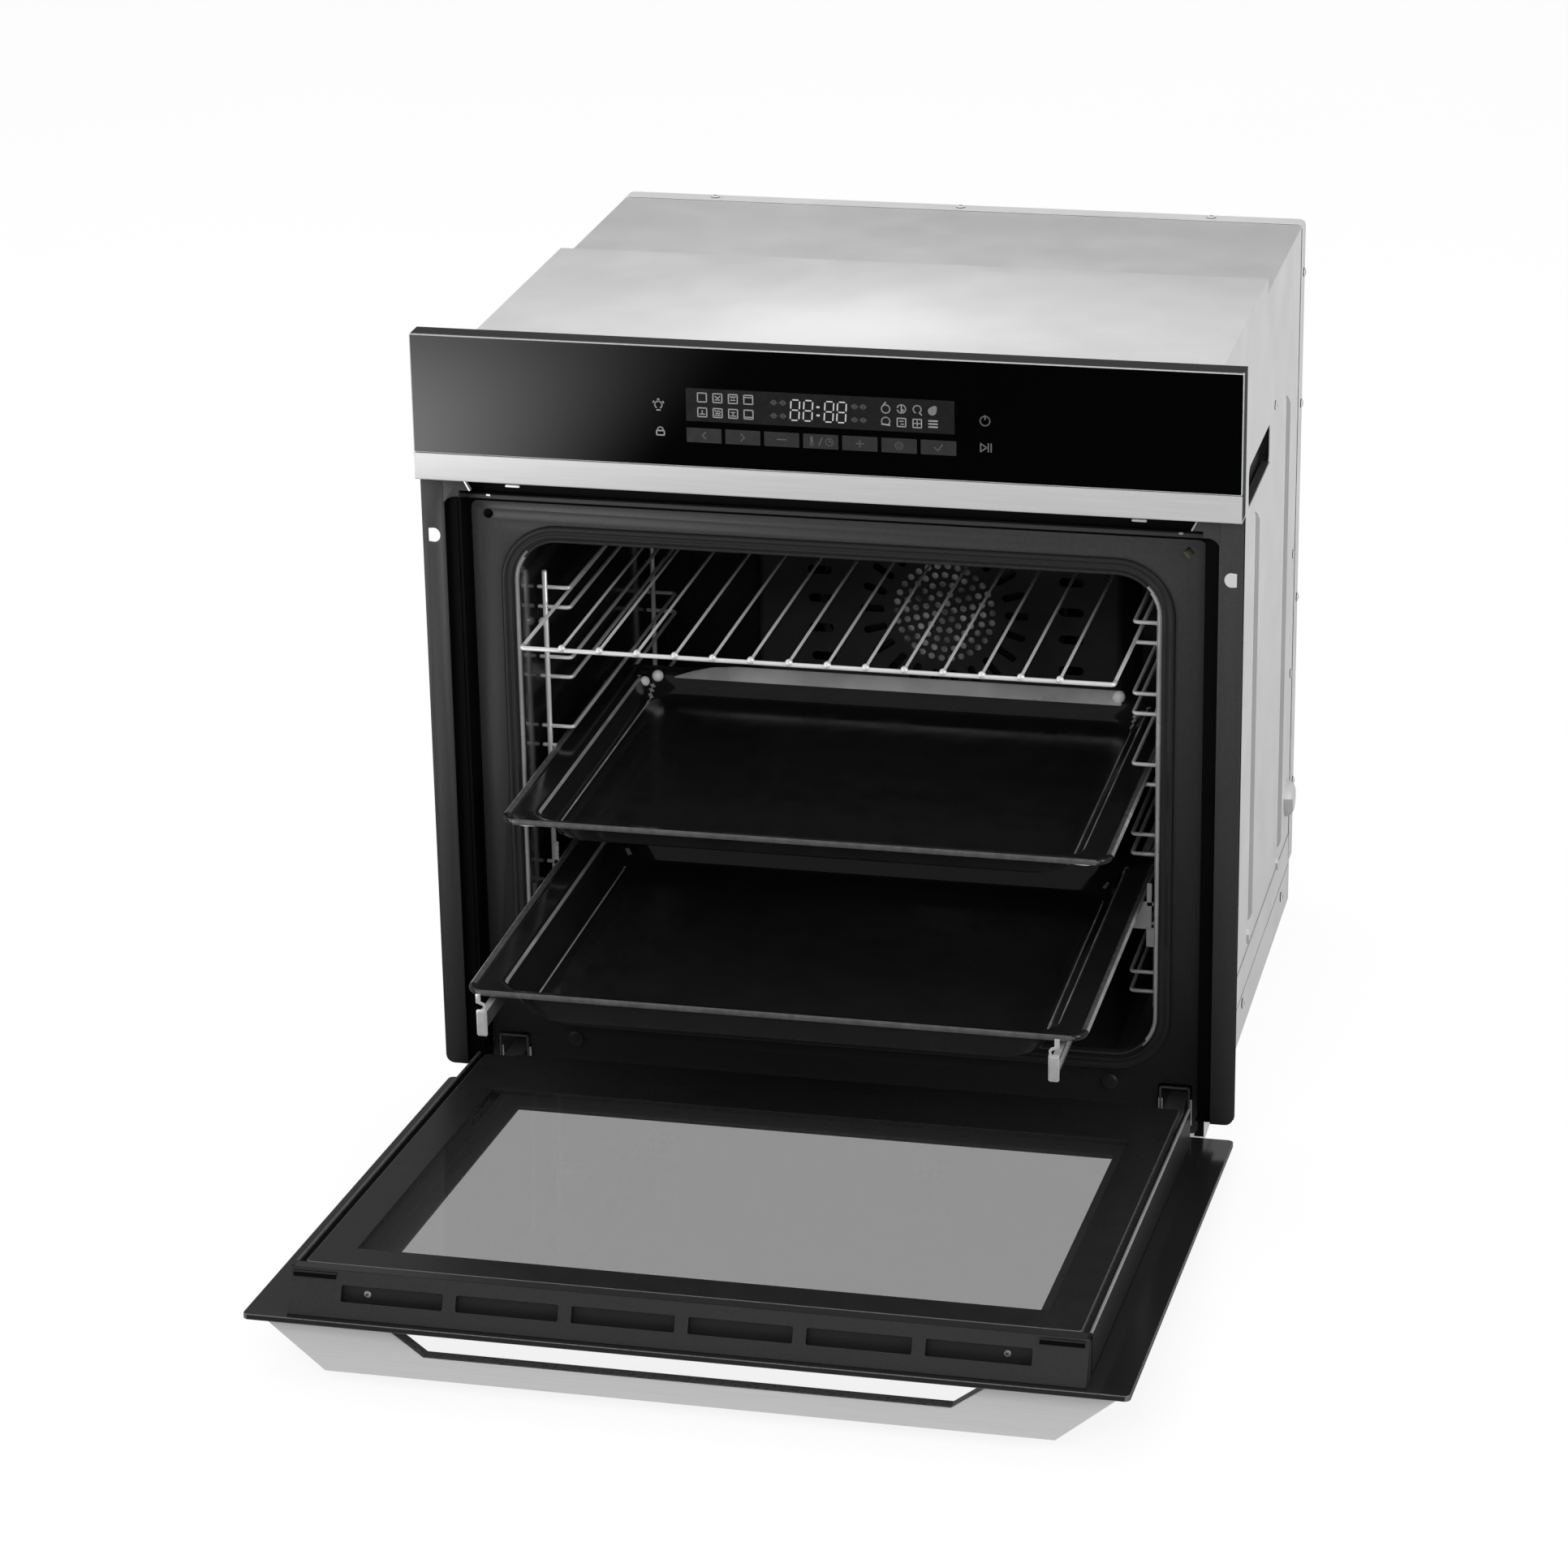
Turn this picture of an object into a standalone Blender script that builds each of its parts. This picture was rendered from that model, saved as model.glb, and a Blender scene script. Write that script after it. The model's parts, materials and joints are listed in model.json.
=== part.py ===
"""Built-in electric wall oven, 595 mm wide, with its drop-down door open and its trays drawn out.

World frame: metres, +Z up, +X to the right as seen from the front, -Y towards the user.
The origin is the middle of the base pan's underside. Depths called d are measured back from
the cabinet's front edge. The door is modelled shut and turned open about its hinge axis.
"""

import math

import bmesh
import bpy
from mathutils import Euler, Matrix, Vector

# Driving dimensions
FRONT_HALF = 0.2975          # half width of the control panel and of the door glass
FRONT_TOP = 0.600            # top of the control panel above the base
CABINET_Y = -0.253           # the cabinet's front edge
BODY_HALF = 0.272            # half width of the housing
DECK_TOP = 0.5813            # housing top over the controls
REAR_TOP = 0.5714            # housing top behind the step
STEP_D = 0.294
BODY_REAR_D = 0.503
SHEET = 0.001                # sheet steel

PANEL_FRONT_D = -0.020
PANEL_REAR_D = -0.0005
STRIP_BOTTOM = 0.492
STRIP_TOP = 0.512
GLASS = 0.004

FLANGE_D = -0.008
FLANGE_INNER = 0.281
FLANGE_BOTTOM = 0.0292
FLANGE_HOLE = (0.2893, 0.4466)
HOLE_R = 0.0045

CHASSIS_D = 0.018
CHASSIS_HALF = 0.268
CHASSIS_BOTTOM = 0.008
CHASSIS_TOP = 0.487
MOUTH_HALF = 0.234
MOUTH_BOTTOM = 0.069
MOUTH_TOP = 0.437
MOUTH_RADIUS = 0.030
CAVITY_REAR_D = 0.440
COVER_D = 0.400              # front face of the fan cover

PIVOT_D = -0.0111            # door hinge axis
PIVOT_Z = 0.0204
OPEN_ANGLE = math.radians(85.0)
DOOR_BOTTOM = 0.010
DOOR_TOP = 0.489
DOOR_INNER_D = 0.014         # inner face of the shut door
BOX_HALF = 0.2683
BOX_BOTTOM = 0.0325
BOX_TOP_INNER = 0.4725
BOX_TOP_OUTER = 0.4834
GLAZING_D = -0.016           # inner face of the outer glass

LEVELS = 6
LEVEL_PITCH = 0.0545
TOP_LEVEL = 0.371            # axis of the lower wire of the top pair
PAIR_GAP = 0.0153
RACK_INNER = 0.210
RACK_POST = 0.2285
RACK_FRONT_D = 0.065
RACK_REAR_D = 0.375
THIN_WIRE = 0.0015

TRAY_HALF = 0.221
TRAY_LENGTH = 0.335
WIRE_RACK_D = -0.040         # front edges as drawn out
SHALLOW_D = -0.101
DEEP_D = -0.200
RUNNER_LEVEL = 4

FAN_Z = 0.263
BLOWER_D = 0.235

# Finishes: colour, roughness, metallic
FINISHES = {
    "galvanised": ((0.60, 0.60, 0.61), 0.45, 0.75),
    "enamel": ((0.012, 0.012, 0.013), 0.25, 0.0),
    "satin_black": ((0.03, 0.03, 0.031), 0.5, 0.0),
    "steel": ((0.62, 0.62, 0.62), 0.28, 1.0),
    "chrome": ((0.78, 0.78, 0.78), 0.12, 1.0),
    "black_glass": ((0.006, 0.006, 0.007), 0.05, 0.0),
    "clear_glass": ((0.35, 0.35, 0.36), 0.05, 0.0),
    "rubber": ((0.03, 0.03, 0.03), 0.7, 0.0),
    "plastic": ((0.025, 0.025, 0.026), 0.45, 0.0),
    "wool": ((0.55, 0.52, 0.42), 0.95, 0.0),
    "board": ((0.03, 0.10, 0.05), 0.6, 0.0),
    "element": ((0.10, 0.10, 0.10), 0.55, 0.6),
}


# ---------------------------------------------------------------- scene set-up

def clear_scene():
    for obj in list(bpy.data.objects):
        bpy.data.objects.remove(obj, do_unlink=True)


def new_collection(name):
    group = bpy.data.collections.new(name)
    bpy.context.scene.collection.children.link(group)
    return group


clear_scene()
OVEN = new_collection("wall_oven")
CUTTERS = new_collection("cutters")


def empty(name, location, rotation=(0.0, 0.0, 0.0)):
    axis = bpy.data.objects.new(name, None)
    axis.empty_display_size = 0.05
    axis.location = location
    axis.rotation_euler = rotation
    OVEN.objects.link(axis)
    return axis


def point(x, d, z):
    """World point from a depth behind the cabinet's front edge."""
    return Vector((x, CABINET_Y + d, z))


DOOR_AXIS = empty("door_axis", point(0.0, PIVOT_D, PIVOT_Z), (OPEN_ANGLE, 0.0, 0.0))


# ---------------------------------------------------------------- making objects

def paint(obj, kind):
    colour, roughness, metallic = FINISHES[kind]
    skin = bpy.data.materials.new(obj.name + "_" + kind)
    skin.use_nodes = True
    shader = skin.node_tree.nodes["Principled BSDF"]
    shader.inputs["Base Color"].default_value = (*colour, 1.0)
    shader.inputs["Roughness"].default_value = roughness
    shader.inputs["Metallic"].default_value = metallic
    skin.diffuse_color = (*colour, 1.0)
    obj.data.materials.clear()
    obj.data.materials.append(skin)


def finish_object(name, mesh, centre, kind, parent):
    """Wraps a mesh whose points are relative to centre. Kind None makes a cutter."""
    obj = bpy.data.objects.new(name, mesh)
    (CUTTERS if kind is None else OVEN).objects.link(obj)
    if kind is None:
        obj.hide_render = True
        obj.display_type = "WIRE"
    else:
        paint(obj, kind)
    obj.parent = parent
    obj.location = centre if parent is None else centre - parent.location
    return obj


def mesh_from(build_mesh, name):
    mesh = bpy.data.meshes.new(name)
    bmesh.ops.recalc_face_normals(build_mesh, faces=build_mesh.faces)
    build_mesh.to_mesh(mesh)
    build_mesh.free()
    return mesh


def box(name, x, d, z, kind, parent=None, bevel=0.0):
    size = Vector((x[1] - x[0], d[1] - d[0], z[1] - z[0]))
    shape = bmesh.new()
    bmesh.ops.create_cube(shape, size=1.0)
    bmesh.ops.scale(shape, vec=size, verts=shape.verts)
    centre = point((x[0] + x[1]) / 2, (d[0] + d[1]) / 2, (z[0] + z[1]) / 2)
    obj = finish_object(name, mesh_from(shape, name), centre, kind, parent)
    if bevel:
        edge = obj.modifiers.new("edges", "BEVEL")
        edge.width = bevel
        edge.segments = 2
    return obj


def rod(name, start, end, radius, kind, parent=None, sides=20, far_radius=None):
    """A cylinder or a cone from one point to another."""
    start, end = point(*start), point(*end)
    shape = bmesh.new()
    bmesh.ops.create_cone(
        shape, cap_ends=True, segments=sides, depth=(end - start).length,
        radius1=radius, radius2=radius if far_radius is None else far_radius,
    )
    turn = Vector((0, 0, 1)).rotation_difference(end - start).to_matrix()
    bmesh.ops.rotate(shape, matrix=turn, verts=shape.verts)
    return finish_object(name, mesh_from(shape, name), (start + end) / 2, kind, parent)


def solid_from_curve(curve, name, turn, centre, kind, parent):
    """Evaluates a curve, welds its caps and keeps it as a mesh."""
    helper = bpy.data.objects.new(name + "_curve", curve)
    OVEN.objects.link(helper)
    bpy.context.view_layer.update()
    graph = bpy.context.evaluated_depsgraph_get()
    mesh = bpy.data.meshes.new_from_object(helper.evaluated_get(graph))
    bpy.data.objects.remove(helper, do_unlink=True)
    shape = bmesh.new()
    shape.from_mesh(mesh)
    bmesh.ops.remove_doubles(shape, verts=shape.verts, dist=0.000005)
    bmesh.ops.rotate(shape, matrix=turn, verts=shape.verts)
    return finish_object(name, mesh_from(shape, name), centre, kind, parent)


TURNS = {
    "front": Euler((math.pi / 2, 0.0, 0.0)).to_matrix(),             # outline in X and Z
    "side": Matrix(((0, 0, 1), (1, 0, 0), (0, 1, 0))),               # outline in Y and Z
    "top": Matrix.Identity(3),                                       # outline in X and Y
}


def plane_centre(facing, offset):
    """Where an outline's own zero lies: offset is along the normal."""
    if facing == "front":
        return point(0.0, offset, 0.0)
    if facing == "side":
        return point(offset, 0.0, 0.0)
    return point(0.0, 0.0, offset)


def plate(name, loops, thickness, facing, offset, kind, parent=None):
    """A flat plate from closed outlines, inner ones being holes. Offset is its middle plane."""
    curve = bpy.data.curves.new(name, "CURVE")
    curve.dimensions = "2D"
    curve.fill_mode = "BOTH"
    curve.extrude = thickness / 2
    for loop in loops:
        spline = curve.splines.new("POLY")
        spline.points.add(len(loop) - 1)
        for spot, (u, v) in zip(spline.points, loop):
            spot.co = (u, v, 0.0, 1.0)
        spline.use_cyclic_u = True
    return solid_from_curve(curve, name, TURNS[facing], plane_centre(facing, offset), kind, parent)


def wire(name, points, radius, kind, parent=None, cyclic=False):
    """A round wire or tube through points given as x, d, z."""
    curve = bpy.data.curves.new(name, "CURVE")
    curve.dimensions = "3D"
    curve.bevel_depth = radius
    curve.bevel_resolution = 1
    curve.use_fill_caps = True
    spline = curve.splines.new("POLY")
    spline.points.add(len(points) - 1)
    centre = point(*points[0])
    for spot, place in zip(spline.points, points):
        spot.co = (*(point(*place) - centre), 1.0)
    spline.use_cyclic_u = cyclic
    return solid_from_curve(curve, name, Matrix.Identity(3), centre, kind, parent)


def folded_sheet(name, profile, facing, span, kind, thickness=SHEET, parent=None):
    """Sheet metal bent along a profile, its middle surface, and run from span[0] to span[1]."""
    shape = bmesh.new()
    length = span[1] - span[0]
    near = [shape.verts.new((u, v, -length / 2)) for u, v in profile]
    far = [shape.verts.new((u, v, length / 2)) for u, v in profile]
    for i in range(len(profile) - 1):
        shape.faces.new((near[i], near[i + 1], far[i + 1], far[i]))
    bmesh.ops.rotate(shape, matrix=TURNS[facing], verts=shape.verts)
    centre = plane_centre(facing, (span[0] + span[1]) / 2)
    obj = finish_object(name, mesh_from(shape, name), centre, kind, parent)
    skin = obj.modifiers.new("sheet", "SOLIDIFY")
    skin.thickness = thickness
    skin.offset = 0.0
    skin.use_even_offset = True
    return obj


def rounded(half_u, low_v, high_v, radius, steps=5, middle_u=0.0):
    """A rectangle with round corners, anticlockwise from its lower right."""
    centres = (
        (half_u - radius, low_v + radius, -90),
        (half_u - radius, high_v - radius, 0),
        (-half_u + radius, high_v - radius, 90),
        (-half_u + radius, low_v + radius, 180),
    )
    loop = []
    for u, v, start in centres:
        for i in range(steps + 1):
            angle = math.radians(start + 90 * i / steps)
            loop.append((middle_u + u + radius * math.cos(angle), v + radius * math.sin(angle)))
    return loop


def circle(u, v, radius, sides=16):
    turn = 2 * math.pi / sides
    return [(u + radius * math.cos(turn * i), v + radius * math.sin(turn * i)) for i in range(sides)]


def lofted_shell(name, loops, wall, kind, outwards=True, capped=True, parent=None):
    """An open skin through like closed loops of x, d, z, capped at the last, then given a wall."""
    shape = bmesh.new()
    centre = point(*loops[0][0])
    rings = [[shape.verts.new(point(*place) - centre) for place in loop] for loop in loops]
    count = len(rings[0])
    for first, second in zip(rings, rings[1:]):
        for i in range(count):
            j = (i + 1) % count
            shape.faces.new((first[i], first[j], second[j], second[i]))
    if capped:
        shape.faces.new(rings[-1])
    obj = finish_object(name, mesh_from(shape, name), centre, kind, parent)
    skin = obj.modifiers.new("wall", "SOLIDIFY")
    skin.thickness = wall
    skin.offset = 1.0 if outwards else -1.0
    skin.use_even_offset = True
    return obj


def combine(obj, other, operation):
    joint = obj.modifiers.new(operation.lower(), "BOOLEAN")
    joint.operation = operation
    joint.solver = "EXACT"
    joint.object = other
    return obj


def cut(obj, *cutters):
    for cutter in cutters:
        combine(obj, cutter, "DIFFERENCE")
    return obj


def union(obj, *others):
    for other in others:
        combine(obj, other, "UNION")
    return obj


def on_both_sides(make):
    """Calls a maker for the left and for the right: it takes a side's name and its sign."""
    for side, sign in (("left", -1), ("right", 1)):
        make(side, sign)


def span(sign, inner, outer):
    """An x range on one side, low value first."""
    return tuple(sorted((sign * inner, sign * outer)))


# ---------------------------------------------------------------- housing

BASE_WALL_TOP = 0.034
CARRY_D = (0.205, 0.323)     # hand holds in the side panels
CARRY_Z = (0.430, 0.461)
REAR_FLANGE_D = 0.489


def base_pan():
    rim = rounded(BODY_HALF, CHASSIS_D + 0.0018, BODY_REAR_D - 0.0013, 0.003, 1)
    loops = [[(x, d, z) for x, d in rim] for z in (BASE_WALL_TOP, 0.0)]
    pan = lofted_shell("base_pan", loops, SHEET, "galvanised", outwards=False)
    notches = [
        box(f"hinge_notch_{side}", span(sign, 0.2415, 0.2605), (0.010, 0.030), (0.0150, 0.0400), None)
        for side, sign in (("left", -1), ("right", 1))
    ]
    cut(pan, *notches)


def side_panel(side, sign):
    outline = [
        (0.0005, BASE_WALL_TOP + 0.0005), (REAR_FLANGE_D - 0.001, BASE_WALL_TOP + 0.0005),
        (REAR_FLANGE_D - 0.001, REAR_TOP - 0.0015), (STEP_D - 0.0020, REAR_TOP - 0.0015),
        (STEP_D - 0.0020, DECK_TOP - 0.0015), (0.0005, DECK_TOP - 0.0015),
    ]
    opening = [(CARRY_D[0], CARRY_Z[0]), (CARRY_D[1], CARRY_Z[0]),
               (CARRY_D[1], CARRY_Z[1]), (CARRY_D[0], CARRY_Z[1])]
    middle = sign * (BODY_HALF - SHEET / 2)
    plate("side_panel_" + side, [outline, opening], SHEET, "side", middle, "galvanised")


def carry_cup(side, sign):
    """Black hand-hold cup behind each side panel."""
    mouth = rounded(0.0622, CARRY_Z[0] - 0.0035, CARRY_Z[1] + 0.0035, 0.006, 2, middle_u=0.264)
    outer = sign * (BODY_HALF - SHEET - 0.0003)
    inner = sign * 0.2635
    loops = [[(x, d, z) for d, z in mouth] for x in (outer, inner)]
    lofted_shell("carry_cup_" + side, loops, 0.001, "plastic", outwards=False)


def top_cover():
    profile = [
        (0.0005, DECK_TOP - SHEET / 2), (STEP_D, DECK_TOP - SHEET / 2),
        (STEP_D + 0.002, REAR_TOP - SHEET / 2), (REAR_FLANGE_D - 0.001, REAR_TOP - SHEET / 2),
    ]
    folded_sheet("top_cover", profile, "side", (-BODY_HALF, BODY_HALF), "galvanised")


def rear_cover():
    """A shallow lid that wraps over the rear edges of the housing, with louvres and a socket gap."""
    low, high, half = BASE_WALL_TOP + 0.001, REAR_TOP + 0.0012, BODY_HALF + 0.0015
    edge = rounded(half, low, high, 0.004, 2)
    loops = [[(x, d, z) for x, z in edge] for d in (REAR_FLANGE_D, BODY_REAR_D)]
    lid = lofted_shell("rear_cover", loops, SHEET, "galvanised", outwards=False)
    slots = [
        rounded(0.030, z, z + 0.006, 0.0029, 2, middle_u=u)
        for z in (0.115, 0.130, 0.145, 0.515, 0.530, 0.545) for u in (-0.150, -0.050, 0.050, 0.150)
    ]
    slots.append(rounded(0.045, 0.400, 0.450, 0.003, 1, middle_u=-0.180))
    cutter = plate("rear_louvres", slots, 0.012, "front", BODY_REAR_D, None)
    cut(lid, cutter)


# ---------------------------------------------------------------- front frame

HINGE_MIDDLE = 0.251
HINGE_SLOT = 0.0125


def chassis_front():
    edge = rounded(CHASSIS_HALF, CHASSIS_BOTTOM, CHASSIS_TOP, 0.004, 2)
    mouth = rounded(MOUTH_HALF, MOUTH_BOTTOM, MOUTH_TOP, MOUTH_RADIUS)
    loops = [edge, mouth]
    for sign in (-1, 1):
        loops.append(rounded(HINGE_SLOT, 0.013, 0.047, 0.002, 1, middle_u=sign * HINGE_MIDDLE))
        loops.append(circle(sign * 0.2555, 0.4572, 0.0035, 10))
    plate("chassis_front", loops, 0.0012, "front", CHASSIS_D + 0.0006, "enamel")


def side_flange(side, sign):
    """Z-shaped trim that covers the cabinet's edge, with one fixing hole."""
    profile = [
        (sign * (FRONT_HALF - 0.0006), CABINET_Y - 0.0004),
        (sign * (FRONT_HALF - 0.0006), CABINET_Y + FLANGE_D + 0.0006),
        (sign * (FLANGE_INNER + 0.0006), CABINET_Y + FLANGE_D + 0.0006),
        (sign * (FLANGE_INNER + 0.0006), CABINET_Y - 0.0012),
        (sign * (BODY_HALF + 0.0010), CABINET_Y - 0.0012),
        (sign * (BODY_HALF + 0.0010), CABINET_Y + 0.0160),
    ]
    local = [(x, y - CABINET_Y) for x, y in profile]
    trim = folded_sheet("side_flange_" + side, local, "top", (FLANGE_BOTTOM, STRIP_BOTTOM - 0.0005),
                        "enamel", thickness=0.0012)
    x, z = FLANGE_HOLE
    hole = circle(sign * x, z, HOLE_R, 32)
    cut(trim, plate("fixing_hole_" + side, [hole], 0.006, "front", FLANGE_D, None))


def bumper(side, sign):
    x, z = sign * 0.203, 0.0457
    rod("door_bumper_" + side, (x, CHASSIS_D - 0.0003, z), (x, CHASSIS_D - 0.0033, z),
        0.0055, "rubber", far_radius=0.004, sides=14)


def door_gasket():
    outer = rounded(0.247, 0.0565, 0.4500, 0.041)
    inner = rounded(0.238, 0.0655, 0.4410, 0.032)
    plate("door_gasket", [outer, inner], 0.0030, "front", CHASSIS_D - 0.0003 - 0.0015, "rubber")


# ---------------------------------------------------------------- oven cavity

CAVITY_HALF = 0.2355
CAVITY_LOW = 0.0675
CAVITY_HIGH = 0.4385
CAVITY_WALL = 0.0012
LAMP_D, LAMP_Z = 0.335, 0.405
GRILL_Z = 0.4225
FLOOR_ELEMENT_Z = 0.0600
ELEMENT_RADIUS = 0.0032


def cavity():
    outline = rounded(CAVITY_HALF, CAVITY_LOW, CAVITY_HIGH, MOUTH_RADIUS)
    loops = [[(x, d, z) for x, z in outline] for d in (CHASSIS_D + 0.0016, CAVITY_REAR_D)]
    tub = lofted_shell("cavity", loops, CAVITY_WALL, "enamel", outwards=True)
    rear = [circle(0.0, FAN_Z, 0.0065, 12)]
    rear += [circle(x, GRILL_Z, 0.0045, 8) for x in (-0.030, 0.030)]
    holes = plate("rear_wall_holes", rear, 0.010, "front", CAVITY_REAR_D, None)
    lamp = plate("lamp_hole", [circle(LAMP_D, LAMP_Z, 0.0225, 20)], 0.010, "side", CAVITY_HALF, None)
    cut(tub, holes, lamp)


def fan_cover():
    """Dished cover over the fan: a round of small holes inside a ring of radial slots."""
    steps = 3
    rim = rounded(0.158, FAN_Z - 0.140, FAN_Z + 0.140, 0.028, steps)
    face = rounded(0.146, FAN_Z - 0.128, FAN_Z + 0.128, 0.022, steps)
    loops = [[(x, CAVITY_REAR_D - 0.0004, z) for x, z in rim], [(x, COVER_D, z) for x, z in face]]
    cover = lofted_shell("fan_cover", loops, 0.001, "enamel", outwards=False)
    holes = []
    for ring, count in ((0.0, 1), (0.012, 6), (0.0235, 12), (0.035, 18)):
        for i in range(count):
            turn = 2 * math.pi * i / count
            holes.append(circle(ring * math.cos(turn), FAN_Z + ring * math.sin(turn), 0.0034, 6))
    for i in range(24):
        turn = 2 * math.pi * i / 24
        across = Vector((-math.sin(turn), math.cos(turn))) * 0.0028
        along = Vector((math.cos(turn), math.sin(turn)))
        inner, outer = along * 0.058, along * 0.079
        corners = (inner - across, outer - across, outer + across, inner + across)
        holes.append([(u, FAN_Z + v) for u, v in corners])
    cut(cover, plate("fan_cover_holes", holes, 0.008, "front", COVER_D, None))


def ring_element():
    ring = [
        (0.098 * math.cos(t), 0.420, FAN_Z + 0.098 * math.sin(t))
        for t in (2 * math.pi * i / 32 for i in range(32))
    ]
    wire("ring_element", ring, ELEMENT_RADIUS, "element", cyclic=True)


def serpentine(half_x, front_d, rear_d, passes, z):
    """Points of a tube that runs to and fro across the oven, starting and ending at the rear."""
    turns = []
    for i in range(passes):
        x = -half_x + 2 * half_x * i / (passes - 1)
        ends = ((x, rear_d, z), (x, front_d, z))
        turns += ends if i % 2 == 0 else ends[::-1]
    return turns


def grill_element():
    run = serpentine(0.150, 0.090, 0.360, 6, GRILL_Z)
    start = [(-0.030, 0.460, GRILL_Z), (-0.030, 0.385, GRILL_Z), (-0.150, 0.385, GRILL_Z)]
    end = [(0.150, 0.385, GRILL_Z), (0.030, 0.385, GRILL_Z), (0.030, 0.460, GRILL_Z)]
    wire("grill_element", start + run[1:-1] + end, ELEMENT_RADIUS, "element")


def bottom_element():
    run = serpentine(0.140, 0.080, 0.380, 6, FLOOR_ELEMENT_Z)
    wire("bottom_element", run, ELEMENT_RADIUS, "element")


def insulation():
    outer = rounded(0.2620, 0.0450, 0.4640, 0.030, 3)
    inner = rounded(0.2375, 0.0555, 0.4405, 0.030, 3)
    blanket = plate("insulation", [outer, inner], 0.395, "front", 0.2195, "wool")
    reach = (LAMP_D, LAMP_Z)
    hole = plate("lamp_gap", [circle(*reach, 0.027, 12)], 0.05, "side", 0.250, None)
    cut(blanket, hole)


def lamp():
    inside, outside = CAVITY_HALF - 0.0005, CAVITY_HALF + 0.027
    reach = (LAMP_D, LAMP_Z)
    rod("lamp_holder", (inside, *reach), (outside, *reach), 0.0220, "galvanised")
    rod("lamp_lens", (inside - 0.0003, *reach), (inside - 0.009, *reach), 0.0220, "clear_glass",
        far_radius=0.017)


# ---------------------------------------------------------------- side racks and runners

def level_z(level):
    return TOP_LEVEL - LEVEL_PITCH * level


def side_rack(side, sign):
    """Ladder of wire pairs that hang the trays, on two upright posts."""
    post_x, inner_x = sign * RACK_POST, sign * RACK_INNER
    low, high = level_z(LEVELS - 1) - 0.012, TOP_LEVEL + PAIR_GAP + 0.012
    top = [(post_x, RACK_FRONT_D, low), (post_x, RACK_FRONT_D, high)]
    ladder = wire("side_rack_" + side, top, 0.0020, "chrome")
    rear = [(post_x, RACK_REAR_D, low), (post_x, RACK_REAR_D, high)]
    pieces = [wire(f"rear_post_{side}", rear, 0.0020, None)]
    for level in range(LEVELS):
        for name, lift in (("lower", 0.0), ("upper", PAIR_GAP)):
            z = level_z(level) + lift
            run = [
                (post_x + sign * 0.0055, RACK_FRONT_D, z), (inner_x, RACK_FRONT_D, z),
                (inner_x, RACK_REAR_D, z), (post_x + sign * 0.0055, RACK_REAR_D, z),
            ]
            pieces.append(wire(f"rack_{name}_{level}_{side}", run, THIN_WIRE, None))
    union(ladder, *pieces)


RUNNER_Z = (0.1535, 0.1715)
RAIL_D = (0.046, 0.397)
SLIDE_LENGTH = 0.350
CLIP_D = -0.221


def runner_rail(side, sign):
    """Fixed channel of a telescopic runner, held on the wires of one level."""
    web, lip = sign * 0.2075, sign * 0.2030
    profile = [
        (lip, RUNNER_Z[0]), (web, RUNNER_Z[0]), (web, RUNNER_Z[1]), (lip, RUNNER_Z[1]),
    ]
    folded_sheet("runner_rail_" + side, profile, "front", RAIL_D, "steel")


def runner_slide(side, sign):
    """Moving bar of a telescopic runner, with the upright clip at its front end."""
    front = CLIP_D + 0.0015
    bar = box("runner_slide_" + side, span(sign, 0.2005, 0.2055), (front, front + SLIDE_LENGTH),
              (0.1565, 0.1685), "steel")
    clip = box(f"clip_{side}", span(sign, 0.1985, 0.2065), (CLIP_D, front + 0.0003),
               (0.1520, 0.1720), None)
    neck = box(f"neck_{side}", span(sign, 0.2000, 0.2050), (CLIP_D, front + 0.0003),
               (0.1700, 0.1800), None)
    union(bar, clip, neck)


# ---------------------------------------------------------------- trays and rack

def tray(name, front_d, rim_z, depth, floor_half, kind="enamel"):
    """Pressed tray: curled edge, flat rim, sloping walls and floor."""
    low, high = front_d, front_d + TRAY_LENGTH
    slope = TRAY_HALF - 0.026 - floor_half
    curl = rounded(TRAY_HALF, low, high, 0.014, 4)
    ledge = rounded(TRAY_HALF - 0.0255, low + 0.008, high - 0.010, 0.022, 4)
    floor = rounded(floor_half, low + 0.008 + slope, high - 0.010 - slope, 0.026, 4)
    loops = [
        [(x, d, rim_z - 0.0035) for x, d in curl],
        [(x, d, rim_z) for x, d in curl],
        [(x, d, rim_z - 0.0006) for x, d in ledge],
        [(x, d, rim_z - depth) for x, d in floor],
    ]
    lofted_shell(name, loops, 0.0008, kind, outwards=False)


def shallow_tray():
    tray("shallow_tray", SHALLOW_D, level_z(2) + 0.0058, 0.018, 0.1830)


def deep_tray():
    tray("deep_tray", DEEP_D, 0.1775, 0.0260, 0.1740)


def wire_rack():
    """Chromed grid: a bent frame with welded cross wires."""
    thick, half = 0.0027, 0.2165
    z = TOP_LEVEL + THIN_WIRE + thick + 0.0003
    front, rear = WIRE_RACK_D, WIRE_RACK_D + TRAY_LENGTH
    corner = 0.010
    frame = [
        (-half + corner, front, z), (half - corner, front, z), (half, front + corner, z),
        (half, rear - corner, z), (half - corner, rear, z), (-half + corner, rear, z),
        (-half, rear - corner, z), (-half, front + corner, z),
    ]
    rack = wire("wire_rack", frame, thick, "chrome", cyclic=True)
    pieces = []
    for i in range(14):
        x = 0.0278 * (i - 6.5)
        run = [(x, front, z + 0.0022), (x, rear, z + 0.0022)]
        pieces.append(wire(f"cross_wire_{i}", run, 0.0015, None))
    union(rack, *pieces)


# ---------------------------------------------------------------- fans

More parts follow.
